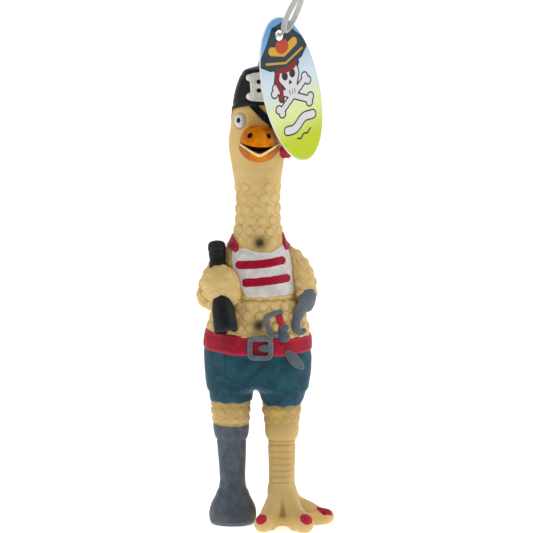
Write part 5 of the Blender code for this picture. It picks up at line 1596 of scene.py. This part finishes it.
def tag_material():
    """Coated card: sky blue fading to lime, with the printed design, a white border and a pale back."""
    shade = Shade("tag_printed_card", coat=0.12)
    height = shade.attribute("tag_up")
    front = shade.attribute("tag_front").step(0.4, 0.6)
    sky = shade.mix(linear((190, 206, 8)), linear((222, 230, 156)), height.step(-26.0, -10.0))
    sky = shade.mix(sky, linear((208, 222, 230)), height.step(-12.0, 4.0))
    sky = shade.mix(sky, linear((96, 158, 214)), height.step(4.0, 30.0))
    colour = sky
    for name, ink, edge in (
        ("outline", (30, 30, 36), 0.1),
        ("skull", (216, 214, 216), 0.12),
        ("ink", (28, 28, 34), 0.1),
        ("scarf", (132, 14, 26), 0.12),
        ("hat", (18, 48, 62), 0.12),
        ("trim", (206, 150, 40), 0.1),
        ("band", (214, 160, 40), 0.12),
        ("medal", (190, 60, 30), 0.12),
    ):
        colour = shade.mix(colour, linear(ink), shade.attribute(name).step(-edge, edge))
    colour = shade.mix(colour, linear((236, 238, 236)), shade.attribute("tag_edge").step(-0.1, 0.15))
    dots = (shade.noise(0.5, 1.0) - 0.5) * 0.05
    back = shade.mix(linear((226, 226, 220)), linear((206, 208, 204)), shade.noise(9.0, 4.0))
    colour = shade.mix(back, colour, front)
    rough = 0.3 + shade.noise(6.0, 3.0) * 0.08 + dots
    return shade.done(colour, rough, shade.noise(1.2, 3.0) * 0.05 + shade.noise(20.0, 2.0) * 0.3)


def build_tag():
    """Both faces of the card, joined round the edge and the hole."""
    face = tag_grid()
    rings, columns = face.shape[:2]
    u, v = face[..., 0].ravel(), face[..., 1].ravel()
    bow = 0.10 * np.sin(v / 15.0) + 0.05 * np.cos(u / 9.0)
    sheet = np.concatenate([np.stack([u, v, bow + CARD_HALF], 1), np.stack([u, v, bow - CARD_HALF], 1)])
    quads = grid_faces(rings, columns)
    back = quads[:, ::-1] + rings * columns
    ring = np.arange(columns)
    after = (ring + 1) % columns
    under = rings * columns
    last = (rings - 1) * columns
    hole = np.stack([ring, ring + under, after + under, after], 1)
    edge = np.stack([last + ring, last + after, last + after + under, last + ring + under], 1)
    points = np.array(TAG_CENTRE) + sheet @ TAG_AXES.T
    art = {key: np.tile(value, 2) for key, value in tag_art(u, v).items()}
    art["tag_up"] = np.tile(v, 2)
    art["tag_edge"] = np.tile(0.35 - np.abs(oval_distance(u, v, 0, 0, *TAG_HALF)), 2)
    art["tag_front"] = np.repeat([1.0, 0.0], len(u))
    piece = place("printed_tag", points, [quads, back, hole, edge], tag_material(), art, "tag", smooth=False)
    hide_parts("hang_tag")


def build_loop():
    """Nylon: a flat band round an oval eye, and a round tail from it through the tag's hole into the crown."""
    axes = spin("Y", LOOP_LEAN) @ spin("Z", LOOP_TURN) @ spin("X", 90.0)
    face = TAG_AXES[:, 2]
    foot = TAG_HOLE + face * 2.6 + np.array([0.9, 0.0, 2.0])
    a = np.linspace(0, 2 * math.pi, 200, endpoint=False)
    b = np.linspace(0, 2 * math.pi, 40, endpoint=False)
    wide = LOOP_BAND[0] * squared(np.sin(b), 0.5)
    thick = LOOP_BAND[1] * squared(np.cos(b), 0.7)
    narrow = LOOP_WIDE * (1 - 0.16 * np.sin(a))
    middle = np.stack([narrow * np.cos(a), LOOP_LONG + LOOP_LONG * np.sin(a), 0 * a], 1)
    outward = np.stack([np.cos(a), np.sin(a) * 0.55, 0 * a], 1)
    outward /= np.sqrt((outward**2).sum(1, keepdims=True))
    ring = (
        middle[:, None]
        + thick[None, :, None] * outward[:, None]
        + wide[None, :, None] * np.array([0, 0, 1.0])
    )
    points = foot + ring.reshape(-1, 3) @ axes.T
    nylon = nylon_material()
    piece = place("nylon_eye", points, [ring_faces(*ring.shape[:2])], nylon, None, "loop")
    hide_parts("hang_loop")
    crown = np.array(CROWN)
    start = foot + axes @ np.array([0.0, 0.6, 0.0])
    route = [
        start, TAG_HOLE + face, TAG_HOLE - face * 1.6, crown + [1.4, -2.6, 4.0], crown + [0, 0, 0.6],
        crown - [0, 0, 5.0],
    ]
    grid = tube([(*p, TAIL_R) for p in route], 120, 24, dome=0.5)
    points, quads, fans = closed_grid(grid)
    place("nylon_tail", points, [quads, fans], nylon, None, "loop")


def nylon_material():
    """Cloudy clear nylon."""
    shade = Shade("loop_nylon_clear", roughness=0.3, subsurface=0.5, scatter=(1.0, 1.0, 1.0))
    shade.shader.inputs["Transmission Weight"].default_value = 0.35
    colour = shade.mix(linear((196, 198, 194)), linear((226, 228, 224)), shade.noise(3.0, 3.0))
    return shade.done(colour, 0.28 + shade.noise(1.2, 3.0) * 0.16, shade.noise(0.6, 3.0) * 0.1)


def build_hidden_parts(plastic, reed):
    """The squeaker's inner parts keep their CAD shapes."""
    for node, material in (("reed_channel", plastic), ("reed_wedge", plastic), ("squeaker_reed", reed)):
        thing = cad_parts[node]
        thing.data.materials.clear()
        thing.data.materials.append(material)


def moulded_plastic(name, dark, light):
    """Plain moulded plastic, faintly mottled."""
    shade = Shade(name, roughness=0.35, subsurface=0.1)
    colour = shade.mix(linear(dark), linear(light), shade.noise(1.5, 3.0))
    return shade.done(colour, 0.3 + shade.noise(0.8, 3.0) * 0.15, shade.noise(0.3, 3.0) * 0.1)


# ---- studio --------------------------------------------------------------------------------------
PAPER, PAPER_GLOW = 0.93, 0.62  # brightness of the sweep, and what it gives off itself

def build_floor():
    """A plain pale sweep: a flat floor that curves up into a wall behind, as one profile carried across."""
    t = np.linspace(0, 1, 60)
    bend = np.clip((t - 0.55) / 0.2, 0, 1) * math.pi / 2
    y = np.where(t < 0.55, -1.6 + t / 0.55 * 2.6, 1.0 + 0.5 * np.sin(bend))
    z = np.where(t < 0.55, 0.0, 0.5 * (1 - np.cos(bend))) + np.clip((t - 0.75) / 0.25, 0, 1) * 1.6
    x = np.linspace(-2.4, 2.4, 30)
    points = np.stack(np.broadcast_arrays(x[None, :], y[:, None], z[:, None]), -1).reshape(-1, 3)
    mesh = bpy.data.meshes.new("floor")
    mesh.from_pydata(points.tolist(), [], grid_faces(60, 30, False)[:, ::-1].tolist())
    mesh.shade_smooth()
    floor = bpy.data.objects.new("floor", mesh)
    bpy.context.scene.collection.objects.link(floor)
    paper = bpy.data.materials.new("studio_paper")
    paper.use_nodes = True
    shader = paper.node_tree.nodes["Principled BSDF"]
    shader.inputs["Base Color"].default_value = (PAPER, PAPER, PAPER, 1.0)
    shader.inputs["Roughness"].default_value = 0.9
    shader.inputs["Emission Color"].default_value = (1.0, 1.0, 1.0, 1.0)
    shader.inputs["Emission Strength"].default_value = PAPER_GLOW
    mesh.materials.append(paper)


def add_light(name, place_at, aim, size, power, colour):
    """A rectangular soft lamp that faces the point aim."""
    lamp = bpy.data.lights.new(name, "AREA")
    lamp.shape = "RECTANGLE"
    lamp.size, lamp.size_y = size
    lamp.energy = power
    lamp.color = colour
    thing = bpy.data.objects.new(name, lamp)
    bpy.context.scene.collection.objects.link(thing)
    thing.location = place_at
    direction = np.array(aim) - np.array(place_at)
    look_along(thing, direction)


def look_along(thing, direction):
    """Turns a camera or light so that it faces along the direction, upright."""
    x, y, z = direction
    thing.rotation_euler = (math.atan2(math.hypot(x, y), -z), 0.0, math.atan2(-x, y))


CAMERA_TALL, CAMERA_AWAY = 5.0, 1.2  # degrees above level, and metres
CAMERA_AIM = (0.0042, -0.006, 0.1278)  # metres from the toy's middle
VIEW_WIDTH = 0.26
SKY = 0.06
LAMPS = (  # name, place, aim, size, watts, colour
    ("left_softbox", (-1.0, -0.25, 0.33), (0, 0, 0.1), (0.9, 1.3), 5.6, (1.0, 0.99, 0.97)),
    ("right_softbox", (1.0, -0.15, 0.38), (0, 0, 0.1), (0.9, 1.3), 7.2, (0.98, 0.99, 1.0)),
    ("front_fill", (-0.3, -1.3, 0.3), (0, 0, 0.06), (0.6, 0.6), 0.15, (1.0, 1.0, 1.0)),
    ("top_softbox", (0.0, -0.4, 1.05), (0, 0, 0.06), (0.7, 0.7), 3.0, (1.0, 1.0, 1.0)),
)


def build_studio():
    """Camera in front at a slight height with a long lens, and large soft lamps."""
    scene = bpy.context.scene
    camera = bpy.data.cameras.new("camera")
    holder = bpy.data.objects.new("camera", camera)
    scene.collection.objects.link(holder)
    aim = OFFSET + CAMERA_AIM
    tall, away = math.radians(CAMERA_TALL), CAMERA_AWAY
    holder.location = aim + away * np.array([0.0, -math.cos(tall), math.sin(tall)])
    look_along(holder, aim - np.array(holder.location))
    camera.sensor_width = 36.0
    camera.lens = 36.0 * away / VIEW_WIDTH
    camera.clip_start, camera.clip_end = 0.05, 20.0
    scene.camera = holder
    world = scene.world or bpy.data.worlds.new("world")
    scene.world = world
    world.use_nodes = True
    sky = world.node_tree.nodes["Background"]
    sky.inputs["Color"].default_value = (1.0, 1.0, 1.0, 1.0)
    sky.inputs["Strength"].default_value = SKY
    scene.view_settings.view_transform = "Standard"
    for lamp in LAMPS:
        add_light(*lamp)


def main():
    """Shared paints first, then every piece from the chest outwards, then the studio."""
    grey = plain_paint("steel_grey_paint", (72, 80, 88), (94, 102, 110), 0.45)
    black = plain_paint("spyglass_black_paint", (18, 19, 21), (30, 32, 34), 0.5, 0.3)
    red = plain_paint("scarf_red_paint", (138, 18, 36), (176, 28, 54), 0.42)
    brown = plain_paint("mouth_brown_paint", (104, 46, 12), (132, 62, 20), 0.6, 0.1)
    glass = plain_paint("spyglass_glass_paint", (44, 14, 10), (92, 28, 20), 0.3, 0.1)
    build_body()
    build_shorts()
    build_belt()
    build_buckle(grey)
    relief_plate("buckle_tongue_moulding", TONGUE, 2.0, 0.5, grey, "buckle_tongue")
    build_dagger(grey, plain_paint("grip_red_paint", (148, 10, 36), (178, 22, 48), 0.4))
    build_hook(grey)
    build_spyglass(black, glass)
    build_peg_leg()
    build_claw_leg()
    build_foot()
    build_head()
    build_bill(bill_material())
    build_mouth(brown)
    build_eye()
    build_scarf_tail(red)
    build_squeaker()
    build_tag()
    build_loop()
    build_hidden_parts(
        moulded_plastic("reed_block_plastic", (206, 202, 190), (228, 224, 214)),
        moulded_plastic("reed_film", (180, 44, 24), (206, 62, 34)),
    )
    build_floor()
    build_studio()


main()
